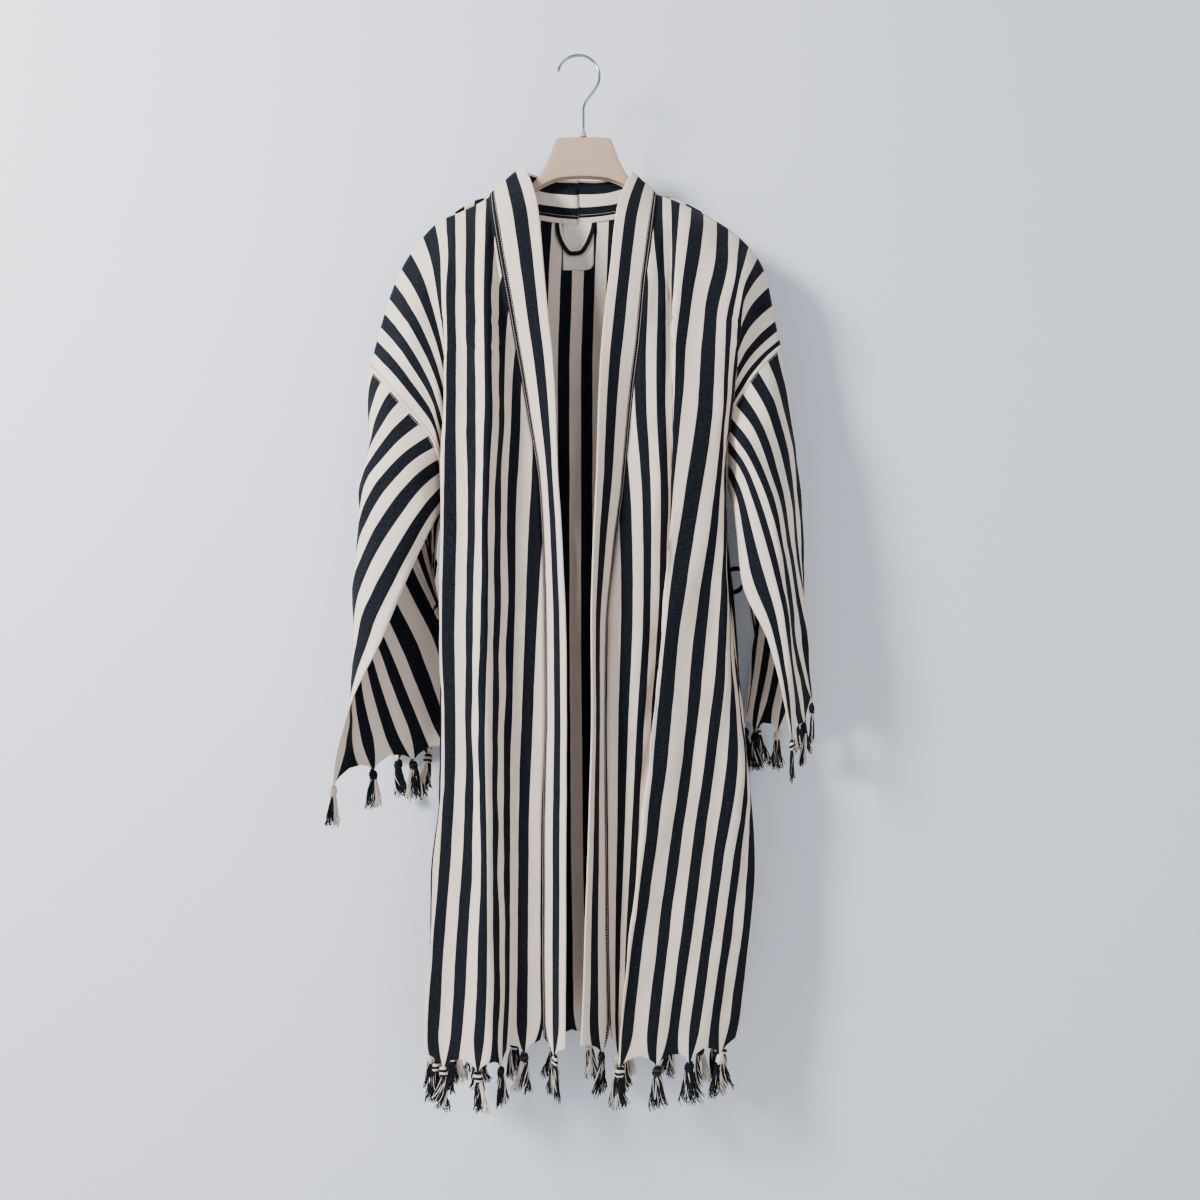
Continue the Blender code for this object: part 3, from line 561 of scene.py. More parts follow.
def add_node(tree, kind, traits=None, **values):
    """A node with its traits set and its inputs fed; returns its outputs."""
    node = tree.nodes.new(kind)
    for label, value in (traits or {}).items():
        setattr(node, label, value)
    for label, value in values.items():
        feed(tree, node.inputs[label.replace("_", " ")], value)
    return node.outputs


def new_tree(name, **kinds):
    """A geometry node tree with a Geometry input and the given ones; returns both."""
    tree = bpy.data.node_groups.new(name, "GeometryNodeTree")
    for label, kind in {"Geometry": "Geometry", **kinds}.items():
        tree.interface.new_socket(label, in_out="INPUT", socket_type="NodeSocket" + kind)
    tree.interface.new_socket("Geometry", in_out="OUTPUT", socket_type="NodeSocketGeometry")
    return tree, tree.nodes.new("NodeGroupInput").outputs


def finish_tree(tree, geometry, material):
    """Ends a tree with real geometry in its material."""
    real = add_node(tree, "GeometryNodeRealizeInstances", Geometry=geometry)
    done = add_node(tree, "GeometryNodeSetMaterial", Geometry=real["Geometry"],
                    Material=material)
    feed(tree, tree.nodes.new("NodeGroupOutput").inputs["Geometry"], done["Geometry"])
    return tree


def yarn_tree():
    """Turns guide lines into round yarn; the points' own thickness scales the radius."""
    tree, given = new_tree("Yarn", Radius="Float", Sides="Int", Material="Material")
    lines = add_node(tree, "GeometryNodeMeshToCurve", Mesh=given["Geometry"])
    ring = add_node(tree, "GeometryNodeCurvePrimitiveCircle", Radius=given["Radius"],
                    Resolution=given["Sides"])
    thick = add_node(tree, "GeometryNodeInputNamedAttribute", Name="thickness")
    yarn = add_node(tree, "GeometryNodeCurveToMesh", Curve=lines["Curve"], Fill_Caps=True,
                    Profile_Curve=ring["Curve"], Scale=thick["Attribute"])
    return finish_tree(tree, yarn["Mesh"], given["Material"])


def stitch_tree():
    """Sets a small thread stitch at even steps along guide lines."""
    tree, given = new_tree("Stitches", Step="Float", Thread="Float", Length="Float",
                           Material="Material")
    lines = add_node(tree, "GeometryNodeMeshToCurve", Mesh=given["Geometry"])
    points = add_node(tree, "GeometryNodeCurveToPoints", {"mode": "LENGTH"},
                      Curve=lines["Curve"], Length=given["Step"])
    bead = add_node(tree, "GeometryNodeMeshIcoSphere", Radius=1.0, Subdivisions=1)
    size = add_node(tree, "ShaderNodeCombineXYZ", X=given["Thread"], Y=given["Thread"],
                    Z=given["Length"])
    placed = add_node(tree, "GeometryNodeInstanceOnPoints", Points=points["Points"],
                      Instance=bead["Mesh"], Rotation=points["Rotation"], Scale=size["Vector"])
    return finish_tree(tree, placed["Instances"], given["Material"])


def grown(name, tree, lines, values):
    """A plain mesh from a node tree run over guide lines.

    Each line is a list of points, or of (point, thickness, tone).
    """
    mesh = bpy.data.meshes.new(name + " guide")
    points, edges = [], []
    for line in lines:
        edges += [(k, k + 1) for k in range(len(points), len(points) + len(line) - 1)]
        points += [item if isinstance(item, tuple) else (item, 1.0, 0.0) for item in line]
    mesh.from_pydata([point * MM for point, thickness, tone in points], edges, [])
    for k, label in ((1, "thickness"), (2, "tone")):
        numbers = mesh.attributes.new(label, "FLOAT", "POINT").data
        numbers.foreach_set("value", [point[k] for point in points])
    guide = bpy.data.objects.new(name + " guide", mesh)
    bpy.context.scene.collection.objects.link(guide)
    modifier = guide.modifiers.new(tree.name, "NODES")
    modifier.node_group = tree
    for item in tree.interface.items_tree:
        if item.in_out == "INPUT" and item.name in values:
            modifier[item.identifier] = values[item.name]
    depsgraph = bpy.context.evaluated_depsgraph_get()
    made = bpy.data.meshes.new_from_object(guide.evaluated_get(depsgraph),
                                           preserve_all_data_layers=True, depsgraph=depsgraph)
    made.name = name
    bpy.data.objects.remove(guide)
    bpy.data.meshes.remove(mesh)
    for polygon in made.polygons:
        polygon.use_smooth = True
    piece = bpy.data.objects.new(name, made)
    bpy.context.scene.collection.objects.link(piece)
    return piece


# Materials

def shader_group(name, inputs, outputs):
    """An empty shader node group with named value sockets."""
    group = bpy.data.node_groups.new(name, "ShaderNodeTree")
    for label, default in inputs.items():
        socket = group.interface.new_socket(label, in_out="INPUT", socket_type="NodeSocketFloat")
        socket.default_value = default
    for label in outputs:
        group.interface.new_socket(label, in_out="OUTPUT", socket_type="NodeSocketFloat")
    return (group, group.nodes.new("NodeGroupInput").outputs,
            group.nodes.new("NodeGroupOutput").inputs)


def maths(tree, operation, *values):
    """The result of a maths node; each value is a socket or a number."""
    node = tree.nodes.new("ShaderNodeMath")
    node.operation = operation
    for socket, value in zip(node.inputs, values):
        feed(tree, socket, value)
    return node.outputs[0]


def limited(tree, value):
    """A value kept between 0 and 1."""
    return maths(tree, "MINIMUM", maths(tree, "MAXIMUM", value, 0.0), 1.0)


def mixed(tree, factor, first, second):
    """A mix of two colours; each is a socket or three numbers."""
    node = tree.nodes.new("ShaderNodeMix")
    node.data_type = "RGBA"
    for name, value in (("Factor_Float", factor), ("A_Color", first), ("B_Color", second)):
        feed(tree, next(s for s in node.inputs if s.identifier == name), value)
    return next(s for s in node.outputs if s.identifier == "Result_Color")


def shade(colour, share):
    """A colour made darker or lighter."""
    return [min(1.0, c * share) for c in colour]


def noise_at(tree, given, scale_across, scale_along):
    """Noise over the cloth's coordinates, stretched along or across it."""
    place = add_node(tree, "ShaderNodeCombineXYZ",
                     X=maths(tree, "MULTIPLY", given["Across"], scale_across),
                     Y=maths(tree, "MULTIPLY", given["Along"], scale_along))
    return add_node(tree, "ShaderNodeTexNoise", Vector=place["Vector"], Scale=1.0,
                    Detail=2.0)["Fac"]


def object_noise(tree, **sizes):
    """Noise over the piece's own coordinates."""
    place = add_node(tree, "ShaderNodeTexCoord")
    return add_node(tree, "ShaderNodeTexNoise", Vector=place["Object"], **sizes)["Fac"]


def stripe_group():
    """Upright stripes: 1 on the dark ones, 0 on the cream ones."""
    group, given, out = shader_group(
        "Woven stripes", {"Across": 0, "Along": 0, "Start": 0, "Repeat": 0.031}, ("Dark",))
    do = partial(maths, group)
    wander = do("MULTIPLY_ADD", noise_at(group, given, 60, 25), 0.0012, -0.0006)
    place = do("ADD", do("SUBTRACT", given["Across"], given["Start"]), wander)
    turn = do("MULTIPLY", do("DIVIDE", place, given["Repeat"]), 2 * math.pi)
    edge = do("MULTIPLY_ADD", do("SINE", turn), 7.0, 0.5)
    feed(group, out["Dark"], limited(group, edge))
    return group


def weave_group():
    """The threads of the weave: their height, and where single pale threads show."""
    group, given, out = shader_group("Weave", {"Across": 0, "Along": 0, "Thread": 0.0011},
                                     ("Height", "Fleck", "Mottle"))
    do = partial(maths, group)
    across, along = (do("MULTIPLY", do("DIVIDE", given[way], given["Thread"]), math.pi)
                     for way in ("Across", "Along"))
    plain = do("MULTIPLY", do("SINE", across), do("SINE", along))
    twill = do("SINE", do("ADD", across, along))
    warp, weft = noise_at(group, given, 900, 120), noise_at(group, given, 260, 800)
    fleck = do("MULTIPLY", do("SUBTRACT", do("MULTIPLY_ADD", twill, 0.1, weft), 0.48), 3.5)
    feed(group, out["Height"], do("MULTIPLY_ADD", plain, 0.25, do("ADD", warp, weft)))
    feed(group, out["Fleck"], limited(group, fleck))
    feed(group, out["Mottle"], noise_at(group, given, 18, 9))
    return group


def new_material(name, colour, roughness, **values):
    """A material of one colour; the values go to its shader's own sockets."""
    material = bpy.data.materials.new(name)
    material.use_nodes = True
    material.diffuse_color = (*colour, 1)
    tree = material.node_tree
    shader = tree.nodes["Principled BSDF"].inputs
    for label, value in dict(values, Base_Color=colour, Roughness=roughness).items():
        feed(tree, shader[label.replace("_", " ")], value)
    return material, tree, shader


def thread_bump(tree, shader, height, strength):
    """Raises a pattern by less than a thread's thickness."""
    bump = add_node(tree, "ShaderNodeBump", Distance=0.0003, Strength=strength, Height=height)
    feed(tree, shader["Normal"], bump["Normal"])


def cloth_material(name, start, cream, dark, striped=True):
    """Woven cotton, striped from the piece's own coordinates."""
    material, tree, shader = new_material(name, cream, 0.92, Sheen_Weight=0.03,
                                          Sheen_Roughness=0.5, Specular_IOR_Level=0.12)
    do = partial(maths, tree)
    uv = add_node(tree, "ShaderNodeUVMap", {"uv_map": "cloth"})
    split = add_node(tree, "ShaderNodeSeparateXYZ", Vector=uv["UV"])
    place = {"Across": split["X"], "Along": split["Y"]}
    weave = add_node(tree, "ShaderNodeGroup", {"node_tree": GROUPS["weave"]}, **place)
    colour = mixed(tree, do("MULTIPLY", weave["Height"], 0.42), shade(cream, 1.1),
                   shade(cream, 0.74))
    colour = mixed(tree, do("MULTIPLY", weave["Mottle"], 0.16), colour, shade(cream, 0.8))
    if striped:
        stripes = add_node(tree, "ShaderNodeGroup", {"node_tree": GROUPS["stripes"]},
                           Start=start, **place)
        flecked = mixed(tree, do("MULTIPLY", weave["Fleck"], 0.05), dark, shade(cream, 0.5))
        colour = mixed(tree, stripes["Dark"], colour, flecked)
    feed(tree, shader["Base Color"], colour)
    thread_bump(tree, shader, weave["Height"], 0.5)
    return material


def yarn_material(cream, dark):
    """Marled yarn, cream or dark by the strand's own tone."""
    material, tree, shader = new_material("Tassel yarn", dark, 0.95, Sheen_Weight=0.04,
                                          Specular_IOR_Level=0.15)
    tone = add_node(tree, "ShaderNodeAttribute", {"attribute_name": "tone"})
    grain = object_noise(tree, Scale=900)
    share = maths(tree, "ADD", tone["Fac"], maths(tree, "MULTIPLY_ADD", grain, 0.3, -0.17))
    feed(tree, shader["Base Color"], mixed(tree, limited(tree, share), dark, cream))
    thread_bump(tree, shader, grain, 0.7)
    return material


def smooth_material(name, colour, roughness, grain=0.05, **values):
    """Plastic or wire: an even colour with a fine unevenness in its gloss."""
    material, tree, shader = new_material(name, colour, roughness, **values)
    texture = object_noise(tree, Scale=60, Detail=4)
    feed(tree, shader["Roughness"],
         maths(tree, "MULTIPLY_ADD", texture, grain * 2, roughness - grain))
    feed(tree, shader["Base Color"],
         mixed(tree, maths(tree, "MULTIPLY", texture, 0.3), colour, shade(colour, 0.86)))
    return material


GROUPS = {}
FINISHES = {}
TREES = {}


def prepare(settings):
    """Makes the shared node groups and the materials, once."""
    if FINISHES:
        return
    GROUPS.update(weave=weave_group(), stripes=stripe_group())
    TREES.update(yarn=yarn_tree(), stitches=stitch_tree())
    cream, dark = tuple(settings.cream), tuple(settings.dark)
    # Each cloth's first stripe starts at its own place
    for name, start in (("front", 0.0185), ("back", -0.0178), ("sleeve", 0.007),
                        ("band", 0.012), ("loop", -0.0103)):
        FINISHES[name] = cloth_material(name.title() + " cotton", start, cream, dark)
    FINISHES.update(
        tape=cloth_material("Seam tape", 0, cream, dark, striped=False),
        label=cloth_material("Label tape", 0, (0.80, 0.75, 0.66), dark, striped=False),
        yarn=yarn_material(cream, dark),
        thread=smooth_material("Sewing thread", shade(cream, 1.05), 0.7),
        plastic=smooth_material("Hanger plastic", tuple(settings.plastic), 0.4,
                                Coat_Weight=0.15),
        steel=smooth_material("Hook steel", (0.40, 0.43, 0.45), 0.2, grain=0.03, Metallic=1.0),
    )


# The robe

GRIDS = {}
# First and last knot of each hem or cuff, as distances in the cloth
TASSELS = {
    "front_left": (22, 358), "front_right": (32, 320), "back": (-317, 307),
    "sleeve_left": (-148, 188), "sleeve_right": (-164, 172),
    "band_left": (24, 24), "band_right": (34, 34),
}
TASSEL_STEP = 48
PANELS = ("front_left", "front_right", "back", "sleeve_left", "sleeve_right")
BANDS = ("band_left", "band_right")
CREASES = ((-357, 1.1), (-391, 0.9))   # height and depth of the pressed creases of the fronts
CALM = 30.0           # smooth length below a panel's top
BACK_CALM = 150.0     # and of the back, behind the label
BAND_COLUMNS = (50, 47.5, 44.5, 41, 37, 33, 29, 25, 21, 17, 13, 9.5, 6.5, 4, 2.2, 1.1, 0.4, 0)
BAND_THICKNESS = 2.6
BAND_BOW = 1.5        # how far the band bows forward between its seam and its edge
BAND_LEVELS = (0, 0.012, 0.03, 0.055, 0.085, 0.12, 0.155, 0.19, 0.23, 0.28, 0.35, 0.43, 0.52,
               0.61, 0.70, 0.79, 0.89, 1)


def band(folds, edge, neck, join, turn):
    """A folded band, from the middle of the neck over the shoulder down to the hem.

    Its width is measured from the folded edge. join shifts its end at the middle of the neck.
    """
    seam_line, edge_line = FoldLine(folds[0]), FoldLine(edge)
    pairs = [tuple(Vector(place) + Vector(join) for place in NECK_MIDDLE)]
    pairs += [(Vector(seam), Vector(fold)) for seam, fold in reversed(neck)]
    pairs += [(seam_line.place(level), edge_line.place(level)) for level in BAND_LEVELS]
    keys = [0.0]
    for (seam, fold), (next_seam, next_fold) in zip(pairs, pairs[1:]):
        keys.append(keys[-1] + ((next_seam - seam).length + (next_fold - fold).length) / 2)
    seams, folded = (Path(keys, [pair[k] for pair in pairs]) for k in (0, 1))
    # A row every 6 mm, and twice as many over the last four steps above the hem
    halves = 2 * round(keys[-1] / 6)
    parts = [1 - width / BAND_WIDTH for width in BAND_COLUMNS]
    rows = []
    for step in (*range(0, halves - 8, 2), *range(halves - 8, halves + 1)):
        seam, fold = seams(keys[-1] * step / halves), folded(keys[-1] * step / halves)
        start = seam + (fold - seam).normalized() * 0.4
        rows.append([start.lerp(fold, part) + Vector((0, -4 * BAND_BOW * part * (1 - part), 0))
                     for part in parts])
    return Cloth(rows, [BAND_COLUMNS] * len(rows), turn)


def band_swell(seed):
    """Puckers of the band along its seam, and slow waves along its folded edge."""
    def height(width, length, level):
        seam = math.exp(-((BAND_WIDTH - width) / 9.0) ** 2)
        edge = math.exp(-(width / 12.0) ** 2)
        fixed = min(1.0, (BAND_WIDTH - width) / 8.0)
        return (1.2 * fixed * rough(width / 40, length / 120, seed)
                + 0.5 * seam * rough(length / 9 - width / 6, seed, 2)
                + 0.4 * edge * rough(length / 38, seed, 7)
                + 0.25 * fixed * rough(width / 14, length / 24, seed + 4))
    return height


def band_thickness(width):
    """Thickness of the folded band: full, and rounded off at the folded edge."""
    radius = BAND_THICKNESS / 2
    if width >= radius:
        return BAND_THICKNESS
    return BAND_THICKNESS * math.sqrt(max(0.03, 1 - ((radius - width) / radius) ** 2))


def grids(settings):
    """Every piece of cloth as a grid, and its tassels' places, worked out once."""
    if GRIDS:
        return GRIDS
    found = {
        "front_left": panel(LEFT_FRONT, 1),
        "front_right": panel(RIGHT_FRONT, 1, -1),
        "back": panel(BACK, -1),
        "sleeve_left": sleeve(LEFT_SLEEVE, LEFT_FRONT, BACK, 0, -1),
        "sleeve_right": sleeve(RIGHT_SLEEVE, RIGHT_FRONT, BACK, -1),
        "band_left": band(LEFT_FRONT, LEFT_EDGE, LEFT_NECK, (2.5, -1.3, -2.2), -1),
        "band_right": band(RIGHT_FRONT, RIGHT_EDGE, RIGHT_NECK, (0.4, 0.3, 0), 1),
    }
    for seed, name in enumerate(PANELS):
        widths = found[name].widths[-1]
        found[name].press(wrinkles(
            settings.seed + seed * 11, settings.wrinkles, widths[0], widths[-1],
            CREASES if name.startswith("front") else (), BACK_CALM if name == "back" else CALM))
    for seed, name in enumerate(BANDS):
        found[name].press(band_swell(settings.seed + 60 + seed))
    for name, cloth in found.items():
        first, last = TASSELS[name]
        GRIDS[name] = (cloth, gather(cloth, range(first, last + 1, TASSEL_STEP)))
    return GRIDS


def hang(piece, slot, name):
    """Settles a panel or a band: ties it to its body and hides the solid it stands for."""
    settle(piece, slot, name)


def make_panels(settings):
    thickness = settings.cloth / MM
    for name in PANELS:
        piece = shell("cloth_" + name, grids(settings)[name][0], lambda width: thickness,
                      FINISHES[name.split("_")[0]])
        hang(piece, "striped_cotton", name)


def make_bands(settings):
    for name in BANDS:
        piece = shell("folded_" + name, grids(settings)[name][0], band_thickness,
                      FINISHES["band"], doubled=True)
        hang(piece, "band_cotton", name)


# Tones of a knot's two cords and of a bundle's yarns, from 0 for dark to 1 for cream
KNOT_TONES = ((0.9, 0.0), (0.0, 0.0), (0.0, 0.05), (0.0, 0.8), (0.95, 0.85))
PALE_TONES = (0.95, 0.85, 0.7)
DARK_TONES = (0.0, 0.0, 0.0, 0.03, 0.0, 0.0, 0.8)
PALE_SHARE = 0.16     # of the bundles


def knot_lines(place, across, chance):
    """Two cords wound into a knot, with a slanting turn over them."""
    lines = []
    start = chance.uniform(0, 2 * math.pi)
    size = chance.uniform(0.9, 1.15)
    for side, tone in zip((0, math.pi), chance.choice(KNOT_TONES)):
        line = []
        for part in (i / 26 for i in range(27)):
            turn = start + side + 2 * math.pi * 2.1 * part
            spread = 4.3 * size * math.sin(math.pi * (0.16 + 0.7 * part))
            line.append((place + across * (spread * math.cos(turn))
                         + Vector((0, 0.72 * spread * math.sin(turn),
                                   6.0 - 11.5 * part + 1.6 * math.cos(turn + 1))), 3.0, tone))
        lines.append(line)
    return lines


def yarn_lines(place, across, count, length, chance):
    """Loose yarns below a knot, in a few twisted bundles that fray at their ends."""
    lines = []
    bundles = chance.choice((3, 3, 4))
    lean = chance.uniform(-4, 4)
    for n in range(bundles):
        middle = (n - (bundles - 1) / 2) * chance.uniform(4.0, 6.4)
        depth = chance.uniform(-3.5, 3.5)
        tones = PALE_TONES if chance.random() < PALE_SHARE else DARK_TONES
        twist, phase = chance.uniform(0.5, 0.95), chance.uniform(0, 6.3)
        bend, turn = chance.uniform(1.2, 3.4), chance.uniform(0, 6.3)
        reach = length * chance.uniform(0.86, 1.0)
        for k in range(count // bundles):
            angle = phase + 2 * math.pi * k / (count // bundles)
            inner = chance.uniform(0.7, 2.4)
            fray = chance.uniform(1.5, 5.5)
            run = reach * chance.uniform(0.82, 1.0)
            tone = chance.choice(tones)
            line = []
            for part in (i / 9 for i in range(10)):
                around = angle + 2 * math.pi * twist * part
                spread = inner + fray * part ** 3.2
                sway = bend * part * math.sin(2.6 * part + turn)
                line.append((place + across * (lean * part + middle * (0.3 + 0.9 * part ** 0.7)
                                               + sway + spread * math.cos(around))
                             + Vector((0, depth * part + 0.8 * spread * math.sin(around),
                                       1.5 - run * part)), 1.0 - 0.4 * part ** 2, tone))
            lines.append(line)
    return lines


def make_tassels(settings):
    for seed, name in enumerate(PANELS):
        chance = random.Random(settings.seed * 100 + seed)
        knots = grids(settings)[name][1]
        if name.startswith("front"):
            knots = grids(settings)[name.replace("front", "band")][1] + knots
        lines = []
        for place, across in knots:
            knot = place - Vector((0, 0, KNOT_DROP))
            lines += knot_lines(knot, across, chance)
            lines += yarn_lines(knot - Vector((0, 0, 4)), across, settings.yarns,
                                settings.tassel / MM, chance)
        tassels = grown("tassels_" + name, TREES["yarn"], lines,
                        {"Radius": settings.yarn / 2, "Sides": 5, "Material": FINISHES["yarn"]})
        settle(tassels, "fringe_cotton", "fringe_" + name)


def armhole(cloth):
    """Places along a sleeve's first row, each with its ways down the sleeve and outwards."""
    return [(cloth.rows[0][j], (cloth.rows[1][j] - cloth.rows[0][j]).normalized(),
             cloth.normals[1][j]) for j in range(1, len(cloth.rows[0]) - 1)]


# The neck's tape covers the first rows of each band, where the seam is behind and below these
NECK_ROWS, NECK_BACK, NECK_HIGH = 40, 4.5, -176
# Steps along and out of the cloth, across each tape
SLEEVE_TAPE = ((-3.4, -0.7), (-2.0, 0.1), (-0.6, 0.4), (0.8, 0.2), (2.0, -0.4))
NECK_TAPE = ((-2.2, 1.5), (-1.0, 2.0), (1.2, 2.1), (3.4, 2.1), (4.6, 1.6))


def make_tapes(settings):
    """Seam tape at the armholes and round the back of the neck."""
    for name in ("sleeve_left", "sleeve_right"):
        stations = [(place + out * 1.2, down, out)
                    for place, down, out in armhole(grids(settings)[name][0])]
        piece = patch("tape_" + name, swept(stations, SLEEVE_TAPE), 0.7, FINISHES["tape"])
        settle(piece, "striped_cotton")
    stations = []
    for name, order in (("band_left", -1), ("band_right", 1)):
        cloth = grids(settings)[name][0]
        back_neck = [(row[0], (row[0] - row[-1]).normalized(), -normals[1])
                     for row, normals in zip(cloth.rows[:NECK_ROWS], cloth.normals)
                     if row[0].y > NECK_BACK and row[0].z < NECK_HIGH]
        stations += back_neck[::order]
    piece = patch("tape_neck", swept(stations, NECK_TAPE), 0.6, FINISHES["tape"])
    settle(piece, "striped_cotton")


def make_hanging_loop():
    line = smooth_line([(-27, 12.2, -211), (-26, 10.2, -220), (-25, 9.4, -226),
                        (-18, 9.2, -242), (-9, 8.8, -251), (1, 8.8, -250), (9, 9.4, -240),
                        (15, 9.4, -226), (17, 10.4, -219), (18, 12.2, -211)], 54)
    stations = []
    for j, point in enumerate(line):
        along = line[min(j + 1, len(line) - 1)] - line[max(j - 1, 0)]
        stations.append((point, Vector((-along.z, 0, along.x)).normalized(), Vector((0, 1, 0))))
    rows = swept(stations, ((-4, 0.5), (-3.2, 0), (-1.2, -0.2), (1.2, -0.2), (3.2, 0), (4, 0.5)))
    piece = patch("loop_hanging", rows, 1.4, FINISHES["loop"])
    settle(piece, "striped_cotton", "hanging_loop")


# Route of each belt loop, half its width, and the area of the cut that shows
BELT_LOOPS = {
    "left": (((-176.4, -1, -716), (-183, -4, -714), (-188, -5, -722), (-187, -5, -732),
              (-177.0, -1, -736)), 3.5, 0.00032),
    "right": (((197.2, -2, -667), (206, -8, -666.5), (212.5, -12, -674), (211, -10, -690),
               (200.6, -2, -697)), 4.0, 0.00044),
}


def make_belt_loops():
    aside = Vector((0, 0.76, 0.65))
    for side, (route, half, area) in BELT_LOOPS.items():
        rows = [[point + aside * (half * step) for step in (-1, -0.8, -0.3, 0.3, 0.8, 1)]
                for point in smooth_line(route, 24)]
        piece = patch("made_belt_loop_" + side, rows, 1.3, FINISHES["loop"],
                      (-3, -2, -1, 1, 2, 3))
        settle(piece, "striped_cotton", "belt_loop_" + side)


LABEL_LEFT, LABEL_RIGHT, LABEL_TOP = -21.0, 20.0, -210.0
LABEL_LENGTH, LABEL_CORNER = 63.0, 11.0
LABEL_HEIGHT, LABEL_DEPTH = -221, 12.2   # a height, and the label's depth there
LABEL_LEAN, LABEL_BULGE = 0.012, 0.9


def make_label():
    """The bare label: it leans off the back, bulges lower down and has one round corner."""
    rows = []
    for i in range(50):
        z = LABEL_TOP - LABEL_LENGTH * i / 49
        past = max(0.0, LABEL_TOP - LABEL_LENGTH + LABEL_CORNER - z)
        cut = LABEL_CORNER - math.sqrt(max(0.0, LABEL_CORNER ** 2 - past ** 2))
        width = LABEL_RIGHT - cut - LABEL_LEFT
        row = []
        for x in (LABEL_LEFT + width * j / 16 for j in range(17)):
            bulge = LABEL_BULGE * math.sin((x - LABEL_LEFT) / (LABEL_RIGHT - LABEL_LEFT) * math.pi)
            depth = LABEL_DEPTH - LABEL_LEAN * (z - LABEL_HEIGHT) - bulge * (i / 49) ** 2
            row.append(Vector((x, depth, z)))
        rows.append(row)
    piece = patch("label", rows, 0.6, FINISHES["label"])
    settle(piece, "label_tape", "neck_label")


def make_small_pieces(settings):
    make_tapes(settings)
    make_hanging_loop()
    make_belt_loops()
    make_label()


def make_stitches(settings):
    """Rows of stitches on the bands, the seam tape, the hanging loop and the label."""
    lines = []
    for name in BANDS:
        cloth = grids(settings)[name][0]
        lines += [[cloth.at(i, width, side * (BAND_THICKNESS / 2 + 0.12))
                   for i in range(len(cloth.rows))] for width in (47.8, 44.2) for side in (1, -1)]
    for name in ("sleeve_left", "sleeve_right"):
        lines.append([place + out * 0.85 + down * 4.0
                      for place, down, out in armhole(grids(settings)[name][0])])
    lines.append([Vector((x, 11.6, -215.5)) for x in range(-20, 20, 2)])
    stitches = grown("stitches", TREES["stitches"], lines,
                     {"Step": settings.stitch, "Thread": 0.00028, "Length": settings.stitch * 0.4,
                      "Material": FINISHES["thread"]})
    settle(stitches, "striped_cotton")


# The hanger

HANGER_CENTRE = 6.4
# Across, top, bottom and half thickness of the hanger's body; the arms follow the shoulders
HANGER_STATIONS = (
    (-27.5, -106.5, -160.5, 5.5), (-30, -109, -161.5, 5.5), (-38, -131, -164.5, 5.5),
    (-50, -154, -171, 5.4), (-62, -167, -178.5, 4.6), (-75, -175, -191, 2.8),
    (-92, -181, -199, 2.6),
)
HANGER_MIDDLE = ((-14, -105.5, -158.5, 5.5), (6, -105.5, -157.5, 5.5), (26, -105.5, -158.5, 5.5))
ARM_HALF = 2.6
ARM_DEPTH = 20.0
ARM_CLEAR = 2.6       # from the arm's top to the shoulder
TIP_TOP, TIP_LOW = 5.0, 17.0   # the arm's rounded tip, below the arm's top
WIRE_RADIUS = 1.8
BEND_RADIUS = 27.3    # of the hook, along the middle of its wire
HOOK_START, HOOK_SWEEP = 162, 190   # degrees, from the hook's open end
# Places along the wire from the bend down to the socket
HOOK_TAIL = ((20.7, 0, -43.6), (15.5, 0, -50.5), (10.2, 0, -57.6), (7.3, 0, -63.2),
             (HANGER_CENTRE, 0, -69), (HANGER_CENTRE, 0, -83), (HANGER_CENTRE, 0, -96.6))
# Height and radius down the socket
SOCKET = ((-97.15, 1.9), (-97.3, 2.5), (-98.2, 3.0), (-101, 3.7), (-104, 4.7), (-105.2, 5.0),
          (-105.35, 4.8))
# Along the wire and its radius there, at the ball that ends the hook
HOOK_BALL = ((-2.2, 0.5), (-1.9, 1.4), (-1.2, 2.1), (-0.2, 2.45), (0.9, 2.3), (1.8, 1.9))


def shoulder_arms(folds, places):
    """Stations of one arm under a front's shoulder; the outermost one is its tip."""
    tops = sorted((fold.across[0], fold.top) for fold in folds[:5])
    shoulder = Curve([across for across, top in tops], [top for across, top in tops])
    stations = []
    for across in places:
        top = shoulder(across) - ARM_CLEAR
        high, low = (TIP_TOP, TIP_LOW) if across == max(places, key=abs) else (0.0, ARM_DEPTH)
        stations.append((across, top - high, top - low, ARM_HALF))
    return stations


def hanger_stations():
    """Every station of the hanger's body, from the left arm's tip to the right one's."""
    mirrored = [(2 * HANGER_CENTRE - across, *rest) for across, *rest in HANGER_STATIONS[:-1]]
    return [*shoulder_arms(LEFT_FRONT, (-185, -172, -158, -144, -130, -118)),
            (-106, -184.5, -204, 2.4), *reversed(HANGER_STATIONS), *HANGER_MIDDLE, *mirrored,
            (98, -184, -201, 2.2),
            *shoulder_arms(RIGHT_FRONT, (112, 126, 140, 156, 172, 188, 200))]


